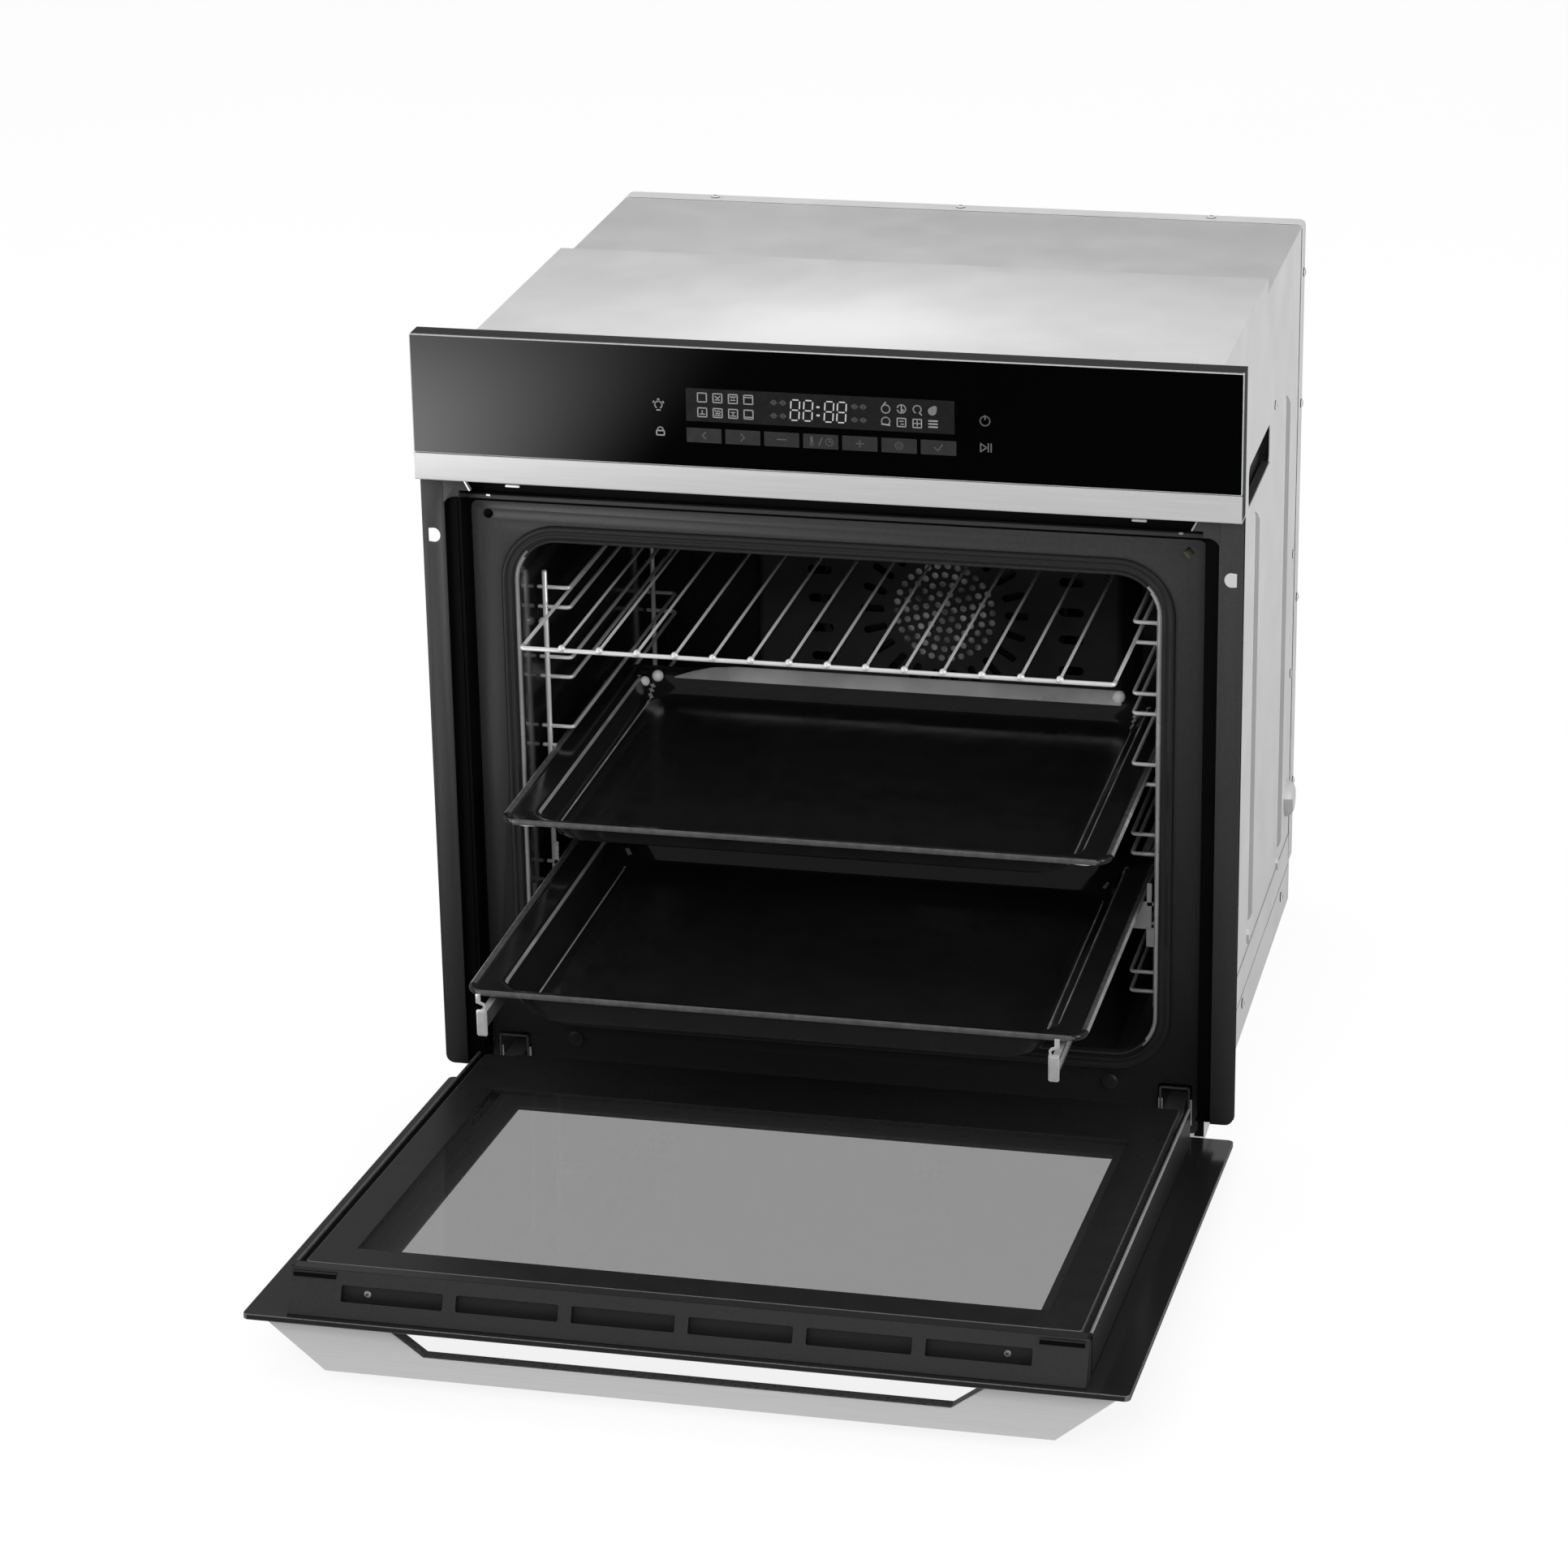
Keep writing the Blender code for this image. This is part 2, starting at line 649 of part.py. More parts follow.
def vaned_wheel(name, centre, axis, radius, width, vanes, kind):
    """A disc with upright vanes, on a hub: axis is Y for the oven fan and Z for the blower."""
    x, d, z = centre

    def place(u, v, along):
        return (x + u, d + along, z + v) if axis == "Y" else (x + u, d + v, z + along)

    wheel = rod(name, place(0, 0, 0), place(0, 0, 0.0015), radius, kind, sides=32)
    hub = rod(name + "_hub", place(0, 0, 0.001), place(0, 0, width), 0.011, None, sides=12)
    union(wheel, hub)
    for i in range(vanes):
        turn = 2 * math.pi * i / vanes
        size = Vector((radius * 0.42, 0.0014, width - 0.001))
        shape = bmesh.new()
        bmesh.ops.create_cube(shape, size=1.0)
        bmesh.ops.scale(shape, vec=size, verts=shape.verts)
        bmesh.ops.translate(shape, vec=(radius * 0.72, 0.0, 0.001 + size.z / 2), verts=shape.verts)
        bmesh.ops.rotate(shape, matrix=Matrix.Rotation(turn, 3, "Z"), verts=shape.verts)
        if axis == "Y":
            bmesh.ops.rotate(shape, matrix=Matrix(((1, 0, 0), (0, 0, 1), (0, 1, 0))), verts=shape.verts)
        vane = finish_object(f"{name}_vane_{i}", mesh_from(shape, name), point(x, d, z), None, None)
        union(wheel, vane)
    return wheel


def convection_fan():
    fan = vaned_wheel("convection_fan", (0.0, 0.4095, FAN_Z), "Y", 0.072, 0.018, 8, "galvanised")
    shaft = rod("fan_shaft", (0.0, 0.4105, FAN_Z), (0.0, 0.4600, FAN_Z), 0.0038, None, sides=12)
    union(fan, shaft)


def fan_motor():
    motor = rod("fan_motor", (0.0, 0.4440, FAN_Z), (0.0, 0.4860, FAN_Z), 0.034, "galvanised", sides=24)
    bore = rod("motor_bore", (0.0, 0.4300, FAN_Z), (0.0, 0.4620, FAN_Z), 0.0043, None, sides=12)
    cut(motor, bore)


def cooling_duct():
    """Flat duct over the cavity that blows cooling air out above the door."""
    edge = rounded(0.180, 0.4900, 0.5180, 0.002, 1)
    loops = [[(x, d, z) for x, z in edge] for d in (0.022, 0.350)]
    duct = lofted_shell("cooling_duct", loops, 0.0008, "galvanised", outwards=False)
    cut(duct, rod("duct_mouth", (0.0, BLOWER_D, 0.505), (0.0, BLOWER_D, 0.530), 0.050, None))


def blower():
    z0, z1 = 0.5188, 0.5640
    scroll = rod("blower_housing", (0.0, BLOWER_D, z0), (0.0, BLOWER_D, z1), 0.080, "galvanised", sides=32)
    hollow = rod("scroll_room", (0.0, BLOWER_D, z0 + 0.001), (0.0, BLOWER_D, z1 - 0.001), 0.079, None, sides=32)
    inlet = rod("scroll_inlet", (0.0, BLOWER_D, z1 - 0.004), (0.0, BLOWER_D, z1 + 0.004), 0.045, None)
    outlet = rod("scroll_outlet", (0.0, BLOWER_D, z0 - 0.004), (0.0, BLOWER_D, z0 + 0.004), 0.045, None)
    cut(scroll, hollow, inlet, outlet)
    wheel = vaned_wheel("blower_wheel", (0.0, BLOWER_D, 0.5240), "Z", 0.066, 0.030, 12, "galvanised")
    bore = rod("wheel_bore", (0.0, BLOWER_D, 0.5280), (0.0, BLOWER_D, 0.5600), 0.0033, None, sides=12)
    cut(wheel, bore)
    motor = rod("blower_motor", (0.0, BLOWER_D, 0.5565), (0.0, BLOWER_D, 0.5680), 0.026, "galvanised", sides=24)
    spindle = rod("blower_spindle", (0.0, BLOWER_D, 0.5300), (0.0, BLOWER_D, 0.5570), 0.0028, None, sides=12)
    union(motor, spindle)


# ---------------------------------------------------------------- controls

def control_glass():
    box("control_glass", (-FRONT_HALF, FRONT_HALF), (PANEL_FRONT_D, PANEL_FRONT_D + GLASS),
        (STRIP_TOP + 0.0003, FRONT_TOP), "black_glass", bevel=0.0006)


def panel_trim():
    """Brushed steel strip under the control glass, folded back beneath the panel."""
    front, low = PANEL_FRONT_D + 0.0005, STRIP_BOTTOM + 0.0005
    profile = [(front, STRIP_TOP), (front, low), (PANEL_REAR_D - 0.0005, low)]
    folded_sheet("panel_trim", profile, "side", (-FRONT_HALF, FRONT_HALF), "steel")


def panel_carrier():
    front, rear = PANEL_FRONT_D + GLASS + 0.0003, PANEL_REAR_D
    half, low, high = FRONT_HALF - 0.0003, STRIP_BOTTOM + 0.0014, FRONT_TOP - 0.0003
    carrier = box("panel_carrier", (-half, half), (front, rear), (low, high), "plastic")
    room = box("carrier_room", (-half + 0.0025, half - 0.0025), (front + 0.0025, rear + 0.01),
               (low + 0.0025, high - 0.0025), None)
    window = box("carrier_window", (-0.100, 0.100), (front - 0.01, front + 0.01), (0.526, 0.578), None)
    cut(carrier, room, window)


def electronics():
    box("display_module", (-0.108, 0.108), (-0.0127, -0.0075), (0.520, 0.584), "plastic")
    box("control_board", (-0.130, 0.130), (-0.0050, -0.0034), (0.515, 0.588), "board")
    block = box("terminal_block", (-0.222, -0.138), (0.4700, 0.5015), (0.4030, 0.4470), "plastic")
    wells = [rounded(0.008, 0.4150, 0.4350, 0.002, 1, middle_u=x) for x in (-0.204, -0.180, -0.156)]
    cut(block, plate("terminal_wells", wells, 0.024, "front", 0.5015, None))


# ---------------------------------------------------------------- door, modelled shut

def door_glasses():
    outer = rounded(FRONT_HALF, DOOR_BOTTOM, DOOR_TOP, 0.004, 3)
    plate("door_outer_glass", [outer], GLASS, "front", PANEL_FRONT_D + GLASS / 2, "black_glass", DOOR_AXIS)
    middle = [(-0.236, 0.045), (0.236, 0.045), (0.236, 0.452), (-0.236, 0.452)]
    plate("door_middle_glass", [middle], 0.003, "front", -0.0075, "clear_glass", DOOR_AXIS)
    inner = rounded(0.2640, 0.0365, 0.4650, 0.003, 2)
    plate("door_inner_glass", [inner], GLASS, "front", DOOR_INNER_D - GLASS / 2, "clear_glass", DOOR_AXIS)


def door_side(side, sign):
    """Side channel with the ledge that carries the inner glass."""
    wall, outer, ledge = sign * 0.2645, sign * BOX_HALF, sign * 0.2630
    d0, d1, d2 = GLAZING_D + 0.0003, DOOR_INNER_D - GLASS - 0.0004, DOOR_INNER_D
    outline = [(ledge, d0), (outer, d0), (outer, d2), (wall, d2), (wall, d1), (ledge, d1)]
    height = 0.465 - BOX_BOTTOM
    plate("door_side_" + side, [outline], height, "top", BOX_BOTTOM + height / 2, "satin_black",
          DOOR_AXIS)


def door_bottom_bar():
    box("door_bottom_bar", (-0.2375, 0.2375), (GLAZING_D + 0.0003, DOOR_INNER_D - 0.0003),
        (BOX_BOTTOM, BOX_BOTTOM + 0.0035), "satin_black", DOOR_AXIS)


def door_top_trim():
    """Sloping cap along the top of the door with six air slots and a screw boss at each end."""
    d0, d1 = GLAZING_D + 0.0003, DOOR_INNER_D
    outline = [(d0, 0.4680), (d1, 0.4680), (d1, BOX_TOP_INNER), (d0, BOX_TOP_OUTER)]
    length = 2 * BOX_HALF
    cap = plate("door_top_trim", [outline], length, "side", 0.0, "plastic", DOOR_AXIS)
    room = box("trim_room", (-BOX_HALF + 0.002, BOX_HALF - 0.002), (d0 + 0.0025, d1 - 0.0025),
               (0.460, 0.4712), None, DOOR_AXIS)
    pitch, width = 0.0788, 0.070
    slots = []
    for i in range(6):
        x = pitch * (i - 2.5)
        slots.append(box(f"trim_slot_{i}", (x - width / 2, x + width / 2), (-0.0045, 0.0035),
                         (0.465, 0.490), None, DOOR_AXIS))
    corners = [
        box(f"clip_pocket_{side}", span(sign, 0.2395, 0.2670), (0.0085, 0.0150), (0.465, 0.480),
            None, DOOR_AXIS)
        for side, sign in (("left", -1), ("right", 1))
    ]
    cut(cap, room, *slots, *corners)


def door_clip(side, sign):
    """Release clip that locks the top trim to the door."""
    box("door_clip_" + side, span(sign, 0.2400, 0.2665), (0.0100, 0.0135), (0.4655, 0.4725),
        "plastic", DOOR_AXIS)


HANDLE_REACH = -0.0595
HANDLE_Z = (0.459, 0.471)


def door_handle():
    """Bevelled plate across the top of the door with a tapered slot for the fingers."""
    near, far = PANEL_FRONT_D - 0.0003, HANDLE_REACH
    outline = [(-0.2905, near), (-0.2905, near - 0.004), (-0.2465, far), (0.2465, far),
               (0.2905, near - 0.004), (0.2905, near)]
    slot = [(-0.2040, near - 0.004), (-0.1780, -0.0430), (0.1780, -0.0430), (0.2040, near - 0.004)]
    thickness = HANDLE_Z[1] - HANDLE_Z[0]
    plate("door_handle", [outline, slot], thickness, "top", sum(HANDLE_Z) / 2, "steel", DOOR_AXIS)


# ---------------------------------------------------------------- hinges

CASE_HALF = 0.0070
CHEEK = (0.0090, 0.0105)     # inner and outer face of a cheek, from the hinge's middle
PIN_RADIUS = 0.0020
HOLE_RADIUS = 0.0023


def hinge_case(side, sign):
    """Fixed arm that reaches out of the chassis and carries the door's pin."""
    middle = sign * HINGE_MIDDLE
    nose = [
        (PIVOT_D - 0.0039 * math.cos(t), PIVOT_Z + 0.0039 * math.sin(t))
        for t in (math.pi / 2 * (i / 3 - 1) for i in range(7))
    ]
    outline = nose + [(0.0, 0.0300), (0.060, 0.0300), (0.060, 0.0165)]
    bore = circle(PIVOT_D, PIVOT_Z, HOLE_RADIUS, 12)
    plate("hinge_case_" + side, [outline, bore], 2 * CASE_HALF, "side", middle, "galvanised")


def hinge_arm(side, sign):
    """Moving U-shaped arm fixed inside the door, its two cheeks turning on the pin."""
    middle = sign * HINGE_MIDDLE
    nose = [
        (PIVOT_D + 0.0042 * math.cos(t), PIVOT_Z + 0.0042 * math.sin(t))
        for t in (math.pi * (1 + i / 6) for i in range(7))
    ]
    outline = nose + [(0.0020, 0.0400), (0.0020, 0.1400), (-0.0150, 0.1400), (-0.0150, 0.0240)]
    bore = circle(PIVOT_D, PIVOT_Z, HOLE_RADIUS, 12)
    cheeks = []
    for name, inner, outer in (("in", -CHEEK[0], -CHEEK[1]), ("out", CHEEK[0], CHEEK[1])):
        kind = "galvanised" if name == "in" else None
        label = "hinge_arm_" + side if name == "in" else "hinge_cheek_" + side
        offset = middle + (inner + outer) / 2
        cheeks.append(plate(label, [outline, bore], CHEEK[1] - CHEEK[0], "side", offset, kind, DOOR_AXIS))
    web = box("hinge_web_" + side, (middle - CHEEK[1] + 0.0002, middle + CHEEK[1] - 0.0002),
              (-0.0150, -0.0135), (0.0480, 0.1390), None, DOOR_AXIS)
    union(cheeks[0], cheeks[1], web)


def hinge_pin(side, sign):
    middle = sign * HINGE_MIDDLE
    rod("hinge_pin_" + side, (middle - 0.0112, PIVOT_D, PIVOT_Z), (middle + 0.0112, PIVOT_D, PIVOT_Z),
        PIN_RADIUS, "steel", sides=12)


# ---------------------------------------------------------------- the whole oven

def smooth_round_pieces():
    for obj in OVEN.objects:
        if obj.type == "MESH":
            obj.data.shade_smooth()
            obj.data.set_sharp_from_angle(angle=math.radians(35))


def build():
    base_pan()
    top_cover()
    rear_cover()
    chassis_front()
    door_gasket()
    cavity()
    fan_cover()
    ring_element()
    grill_element()
    bottom_element()
    insulation()
    lamp()
    wire_rack()
    shallow_tray()
    deep_tray()
    convection_fan()
    fan_motor()
    cooling_duct()
    blower()
    control_glass()
    panel_trim()
    panel_carrier()
    electronics()
    door_glasses()
    door_bottom_bar()
    door_top_trim()
    door_handle()
    for make in (side_panel, carry_cup, side_flange, bumper, side_rack, runner_rail, runner_slide,
                 door_side, door_clip, hinge_case, hinge_arm, hinge_pin):
        on_both_sides(make)
    smooth_round_pieces()


build()
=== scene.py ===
"""Looks of the built-in oven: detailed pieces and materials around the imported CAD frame."""

import json
import math

import bmesh
import bpy
from mathutils import Matrix, Vector


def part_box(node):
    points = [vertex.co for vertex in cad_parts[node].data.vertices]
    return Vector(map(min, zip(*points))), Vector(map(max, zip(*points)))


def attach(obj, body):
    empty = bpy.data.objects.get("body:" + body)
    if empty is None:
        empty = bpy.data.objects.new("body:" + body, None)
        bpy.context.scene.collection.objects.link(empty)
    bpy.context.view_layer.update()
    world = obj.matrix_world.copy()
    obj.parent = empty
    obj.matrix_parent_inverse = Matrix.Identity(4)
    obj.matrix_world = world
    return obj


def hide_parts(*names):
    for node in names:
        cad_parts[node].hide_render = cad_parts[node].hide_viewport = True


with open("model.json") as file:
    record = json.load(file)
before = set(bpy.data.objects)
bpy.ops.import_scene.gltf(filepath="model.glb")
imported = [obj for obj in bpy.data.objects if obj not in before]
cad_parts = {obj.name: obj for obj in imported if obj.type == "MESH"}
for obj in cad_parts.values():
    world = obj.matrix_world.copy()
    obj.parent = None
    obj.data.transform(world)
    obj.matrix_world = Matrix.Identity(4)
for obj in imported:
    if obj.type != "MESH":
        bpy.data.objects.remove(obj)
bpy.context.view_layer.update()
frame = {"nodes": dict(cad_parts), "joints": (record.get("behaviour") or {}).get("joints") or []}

# ------------------------ reference places, from the CAD

PANEL_LO, PANEL_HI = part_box("control_glass")
FLANGE_LO, FLANGE_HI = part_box("side_flange_right")
TRIM_LO, TRIM_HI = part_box("panel_trim")
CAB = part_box("side_panel_right")[0].y - 0.0005      # the cabinet's front edge
PANEL_D, FLANGE_D = PANEL_LO.y - CAB, FLANGE_LO.y - CAB
PANEL_TOP, FLANGE_TOP = PANEL_HI.z, FLANGE_HI.z
FRONT_HALF = PANEL_HI.x
LINE = 0.0008                                       # usual width of a printed line
PRINT_Y = PANEL_LO.y - 0.00018                      # symbols stand this far in front of the glass
FAN_Z = (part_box("fan_cover")[0].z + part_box("fan_cover")[1].z) / 2
HINGE = next(j for j in frame["joints"] if j["name"] == "door_hinge")
PIVOT = Vector(HINGE["pos_m"])
OPEN = math.radians(85.0)
TO_OPEN = Matrix.Translation(PIVOT) @ Matrix.Rotation(OPEN, 4, "X") @ Matrix.Translation(-PIVOT)
MOUTH = (0.234, 0.069, 0.437, 0.03)            # half width, low, high and corner radius
DOOR_HALF, DOOR_NEAR, DOOR_FAR = 0.2683, -0.0157, 0.014   # the shut door's frame
CAP_LOW, CAP_HIGH = 0.4725, 0.4834                  # its sloping cap, at the far and the near edge
GLASS, SHEET = 0.004, 0.0012                        # thicknesses
EASE = 0.0003                                       # an edge's ease, or the gap round a pane
WHITE = (1.0, 1.0, 1.0, 1.0)


# ------------------------ materials

def set_inputs(node, **values):
    """Sets a node's inputs by name, _ standing for a space."""
    for name, value in values.items():
        node.inputs[name.replace("_", " ")].default_value = value
    return node


class Tree:
    """The node tree of a material or world, with short ways to add and join nodes."""

    def __init__(self, owner):
        owner.use_nodes = True
        self.nodes, self.links = owner.node_tree.nodes, owner.node_tree.links

    def add(self, kind, **values):
        return set_inputs(self.nodes.new("ShaderNode" + kind), **values)

    def link(self, source, node, socket):
        self.links.new(source, node.inputs[socket])

    def remap(self, source, low, high, start=0.3, end=0.7):
        node = self.add("MapRange", From_Min=start, From_Max=end, To_Min=low, To_Max=high)
        self.link(source, node, "Value")
        return node.outputs["Result"]

    def along(self, axis, start, end, low, high):
        """A factor from low to high between two places along one of the object's axes."""
        place, split = self.add("TexCoord"), self.add("SeparateXYZ")
        self.link(place.outputs["Object"], split, "Vector")
        return self.remap(split.outputs[axis], low, high, start, end)

    def noise(self, scale, stretch=(1.0, 1.0, 1.0)):
        """Noise over the object's own coordinates, squeezed along each axis by stretch."""
        place, mapping = self.add("TexCoord"), self.add("Mapping", Scale=stretch)
        noise = self.add("TexNoise", Scale=scale, Detail=3.0)
        self.link(place.outputs["Object"], mapping, "Vector")
        self.link(mapping.outputs["Vector"], noise, "Vector")
        return noise.outputs["Fac"]

    def ramp(self, source, dark, light, start, end):
        node = self.add("ValToRGB")
        for element, colour, place in zip(node.color_ramp.elements, (dark, light), (start, end)):
            element.position = place
            element.color = (*colour, 1.0)
        self.link(source, node, "Fac")
        return node.outputs["Color"]


def grey(level, blue=None):
    return (level, level, level if blue is None else blue)


def surface(name, colour, roughness, metallic=0.0, specular=0.5, scale=60.0, stretch=(1.0, 1.0, 1.0),
            spread=0.06, rough_spread=0.05, bump=0.0, depth=0.0002, painted_shade_foot=None, glow=0.0):
    """A shader whose colour, roughness and relief vary a little over fine noise.

    The foot factor darkens the colour from 0.46 m up to the floor, by that factor at the floor: painted
    shade, as under light from above.
    """
    skin = bpy.data.materials.new(name)
    tree = Tree(skin)
    shader = set_inputs(tree.nodes["Principled BSDF"], Metallic=metallic, Specular_IOR_Level=specular,
                        Emission_Color=WHITE, Emission_Strength=glow)
    noise = tree.noise(scale, stretch)
    dark, light = (tuple(min(1.0, c * gain) for c in colour) for gain in (1 - spread, 1 + spread))
    colour_out = tree.ramp(noise, dark, light, 0.3, 0.7)
    # painted shade: darker towards the floor
    if painted_shade_foot is not None:
        mix = tree.add("VectorMath")
        mix.operation = "SCALE"
        tree.link(colour_out, mix, 0)
        tree.link(tree.along("Z", 0.0, 0.46, painted_shade_foot, 1.0), mix, "Scale")
        colour_out = mix.outputs["Vector"]
    tree.link(colour_out, shader, "Base Color")
    tree.link(tree.remap(noise, roughness - rough_spread, roughness + rough_spread), shader, "Roughness")
    if bump:
        relief = tree.add("Bump", Strength=bump, Distance=depth)
        tree.link(noise, relief, "Height")
        tree.link(relief.outputs["Normal"], shader, "Normal")
    skin.diffuse_color = (*colour, 1.0)
    return skin


def clear_glass(name, tint):
    """A thin pane: it lets light straight through, tinted, and mirrors more at a flat angle."""
    skin = bpy.data.materials.new(name)
    tree = Tree(skin)
    gloss = set_inputs(tree.nodes["Principled BSDF"], Metallic=1.0, Roughness=0.02)
    tree.link(tree.ramp(tree.noise(8.0), grey(0.86), grey(0.9), 0.0, 1.0), gloss, "Base Color")
    through = tree.add("BsdfTransparent", Color=(*grey(tint), 1.0))
    edge_on = tree.add("LayerWeight", Blend=0.01)
    mix = tree.add("MixShader")
    tree.link(edge_on.outputs["Facing"], mix, "Fac")
    tree.link(through.outputs["BSDF"], mix, 1)
    tree.link(gloss.outputs["BSDF"], mix, 2)
    tree.link(mix.outputs["Shader"], tree.nodes["Material Output"], "Surface")
    return skin


def lit(name, level):
    """A printed or lit symbol behind the glass."""
    return surface(name, grey(level * 0.5), 0.25, scale=400.0, spread=0.08, glow=level * 0.6)


MAT = {
    # darkens towards the floor: painted shade
    "galvanised": surface("galvanised_sheet", grey(0.81, 0.815), 0.46, 0.3, scale=22, spread=0.025,
                          rough_spread=0.04, bump=0.02, painted_shade_foot=0.86),
    # a darker copy of the galvanised sheet for the rear deck: painted shade
    "galvanised_rear": surface("galvanised_deck_painted_shade", grey(0.76, 0.765), 0.46, 0.3, scale=22, spread=0.025,
                               bump=0.02),
    "steel": surface("brushed_steel", grey(0.615, 0.62), 0.36, 0.3, scale=9, stretch=(1.5, 90.0, 90.0),
                     spread=0.035, rough_spread=0.06, bump=0.05, depth=0.0001),
    "enamel": surface("black_enamel", grey(0.01, 0.0104), 0.14, scale=40, spread=0.15, bump=0.03),
    # pale grey bands along the trays' rims and bends: painted highlights
    "worn_edge": surface("enamel_painted_highlight", grey(0.4), 0.22, 0.3, 0.6, 30, spread=0.3, rough_spread=0.08),
    # pale grey on the mouth lip's sides and the right door lip: painted highlight
    "edge_light": surface("lip_painted_highlight", grey(0.34), 0.25, 0.3, 0.6, 20, spread=0.15),
    # dark grey on tray rims, the left door lip and the door cap's slot frames, lighter than the black round
    # them: painted highlight
    "rim": surface("rim_painted_highlight", grey(0.075, 0.076), 0.22, 0.0, 0.6, 200, spread=0.2),
    "cavity": surface("cavity_enamel", grey(0.009, 0.0093), 0.14, 0.0, 0.6, 60, spread=0.15,
                      rough_spread=0.04, bump=0.02),
    "fan_enamel": surface("fan_cover_enamel", grey(0.027, 0.0274), 0.24, 0.0, 0.6, 12, spread=0.45,
                          bump=0.04),
    # darkens strongly towards the floor: painted shade
    "black_paint": surface("black_paint", grey(0.04, 0.0405), 0.42, 0.0, 0.3, 700, spread=0.1,
                           bump=0.06, depth=0.0001, painted_shade_foot=0.35),
    # darkens strongly towards the floor: painted shade
    "chassis": surface("chassis_enamel", grey(0.04, 0.041), 0.36, 0.0, 0.3, 500, spread=0.08,
                       bump=0.05, depth=0.0001, painted_shade_foot=0.28),
    "door_black": surface("door_black", grey(0.016, 0.0163), 0.34, 0.0, 0.3, 600, spread=0.12,
                          bump=0.05, depth=0.0001),
    "dark_steel": surface("runner_steel", grey(0.12, 0.121), 0.3, 0.5, 0.6, 60, spread=0.15),
    "cap": surface("door_cap_paint", grey(0.024, 0.0243), 0.36, 0.0, 0.35, 600, spread=0.12, bump=0.05,
                   depth=0.0001),
    # pale grey rail on the shallow tray's rear rim: painted highlight
    "rail": surface("rail_painted_highlight", grey(0.6), 0.3, 0.2, 0.6, 20, spread=0.25),
    # near-white curls and beads on the shallow tray: painted highlights
    "glint": surface("corner_painted_highlight", grey(0.95), 0.2, 0.0, 0.9, 60, spread=0.04),
    "rib_shade": surface("rib_shade", grey(0.36), 0.5, 0.2, 0.5, 22, spread=0.03),
    "seam": surface("seam_shadow", grey(0.2), 0.6, scale=60, spread=0.1),
    # near-black for channels, slots and gaps: painted shade
    "recess": surface("recess_painted_shade", grey(0.0015), 0.6, 0.0, 0.1, 300, spread=0.2),
    "rubber": surface("seal_rubber", grey(0.015, 0.0155), 0.5, 0.0, 0.4, 900, spread=0.15, bump=0.15),
    "plastic": surface("black_plastic", grey(0.016, 0.0165), 0.42, 0.0, 0.35, 1500, spread=0.15,
                       bump=0.12, depth=0.0001),
    "glass_black": surface("black_glass", grey(0.0012, 0.0013), 0.05, scale=6, spread=0.1,
                           rough_spread=0.01),
    "glass_door": surface("door_glass_black", grey(0.014, 0.0143), 0.14, 0.0, 0.3, 6, spread=0.1,
                          rough_spread=0.03),
    # light grey on the control glass's eased edges: painted highlight
    "glass_edge": surface("glass_edge_painted_highlight", (0.42, 0.43, 0.43), 0.3, 0.0, 0.6, 300, spread=0.08),
    # dark grey on door glass edges, lighter than the glass, as painted highlight; and on the handle's slot
    # walls, darker than the steel, as painted shade
    "dull_edge": surface("edge_painted_light_and_shade", grey(0.1), 0.3, 0.0, 0.6, 300, spread=0.2),
    "chrome": surface("chrome_wire", grey(0.92), 0.2, 0.45, 0.9, 14, spread=0.05, rough_spread=0.03),
    "bright": surface("bright_steel", grey(0.78), 0.24, 0.6, scale=120, spread=0.04),
    # dark grey of the heating elements; also put round screw heads and at the hand holds' foot as painted
    # shade
    "element": surface("sheath_and_painted_shade", grey(0.06), 0.5, 0.3, scale=500, spread=0.2, bump=0.1),
    "wool": surface("mineral_wool", (0.5, 0.47, 0.38), 0.95, scale=900, spread=0.25, bump=0.6,
                    depth=0.001),
    "board": surface("circuit_board", (0.02, 0.09, 0.04), 0.45, scale=200, spread=0.2),
    "pane": clear_glass("clear_pane", 0.96),
    "window": clear_glass("window_pane", 0.66),
    "print": surface("pane_print", grey(0.017, 0.0174), 0.3, 0.0, 0.2, 60, spread=0.08,
                     rough_spread=0.04),
    # the deeper print has a trace of glow, for the light that bounces between the panes
    "print_deep": surface("pane_print_deep", grey(0.022, 0.0223), 0.3, 0.0, 0.2, 60, spread=0.08,
                          rough_spread=0.04, glow=0.013),
    "screen": surface("display_screen", grey(0.014, 0.0145), 0.1, scale=200, spread=0.1,
                      rough_spread=0.02),
    "key": surface("touch_key", grey(0.03, 0.0305), 0.12, scale=200, spread=0.08, rough_spread=0.02),
    "digit": lit("digit_lit", 0.46),
    "symbol": lit("symbol_bright", 0.26),
    "dim_symbol": lit("symbol_dim", 0.11),
    "faint": lit("symbol_faint", 0.08),
    "bright_enamel": surface("lip_enamel", grey(0.022, 0.0224), 0.2, scale=300, spread=0.1),
    "filter": surface("filter_steel", grey(0.62), 0.3, 0.4, 0.7, 55, spread=0.85, rough_spread=0.1),
    # pale paper lit evenly from under, as on a light table, so that it carries hardly any shadow
    "floor": surface("studio_floor", grey(0.16), 0.9, 0.0, 0.0, 3, spread=0.01, glow=0.86),
}
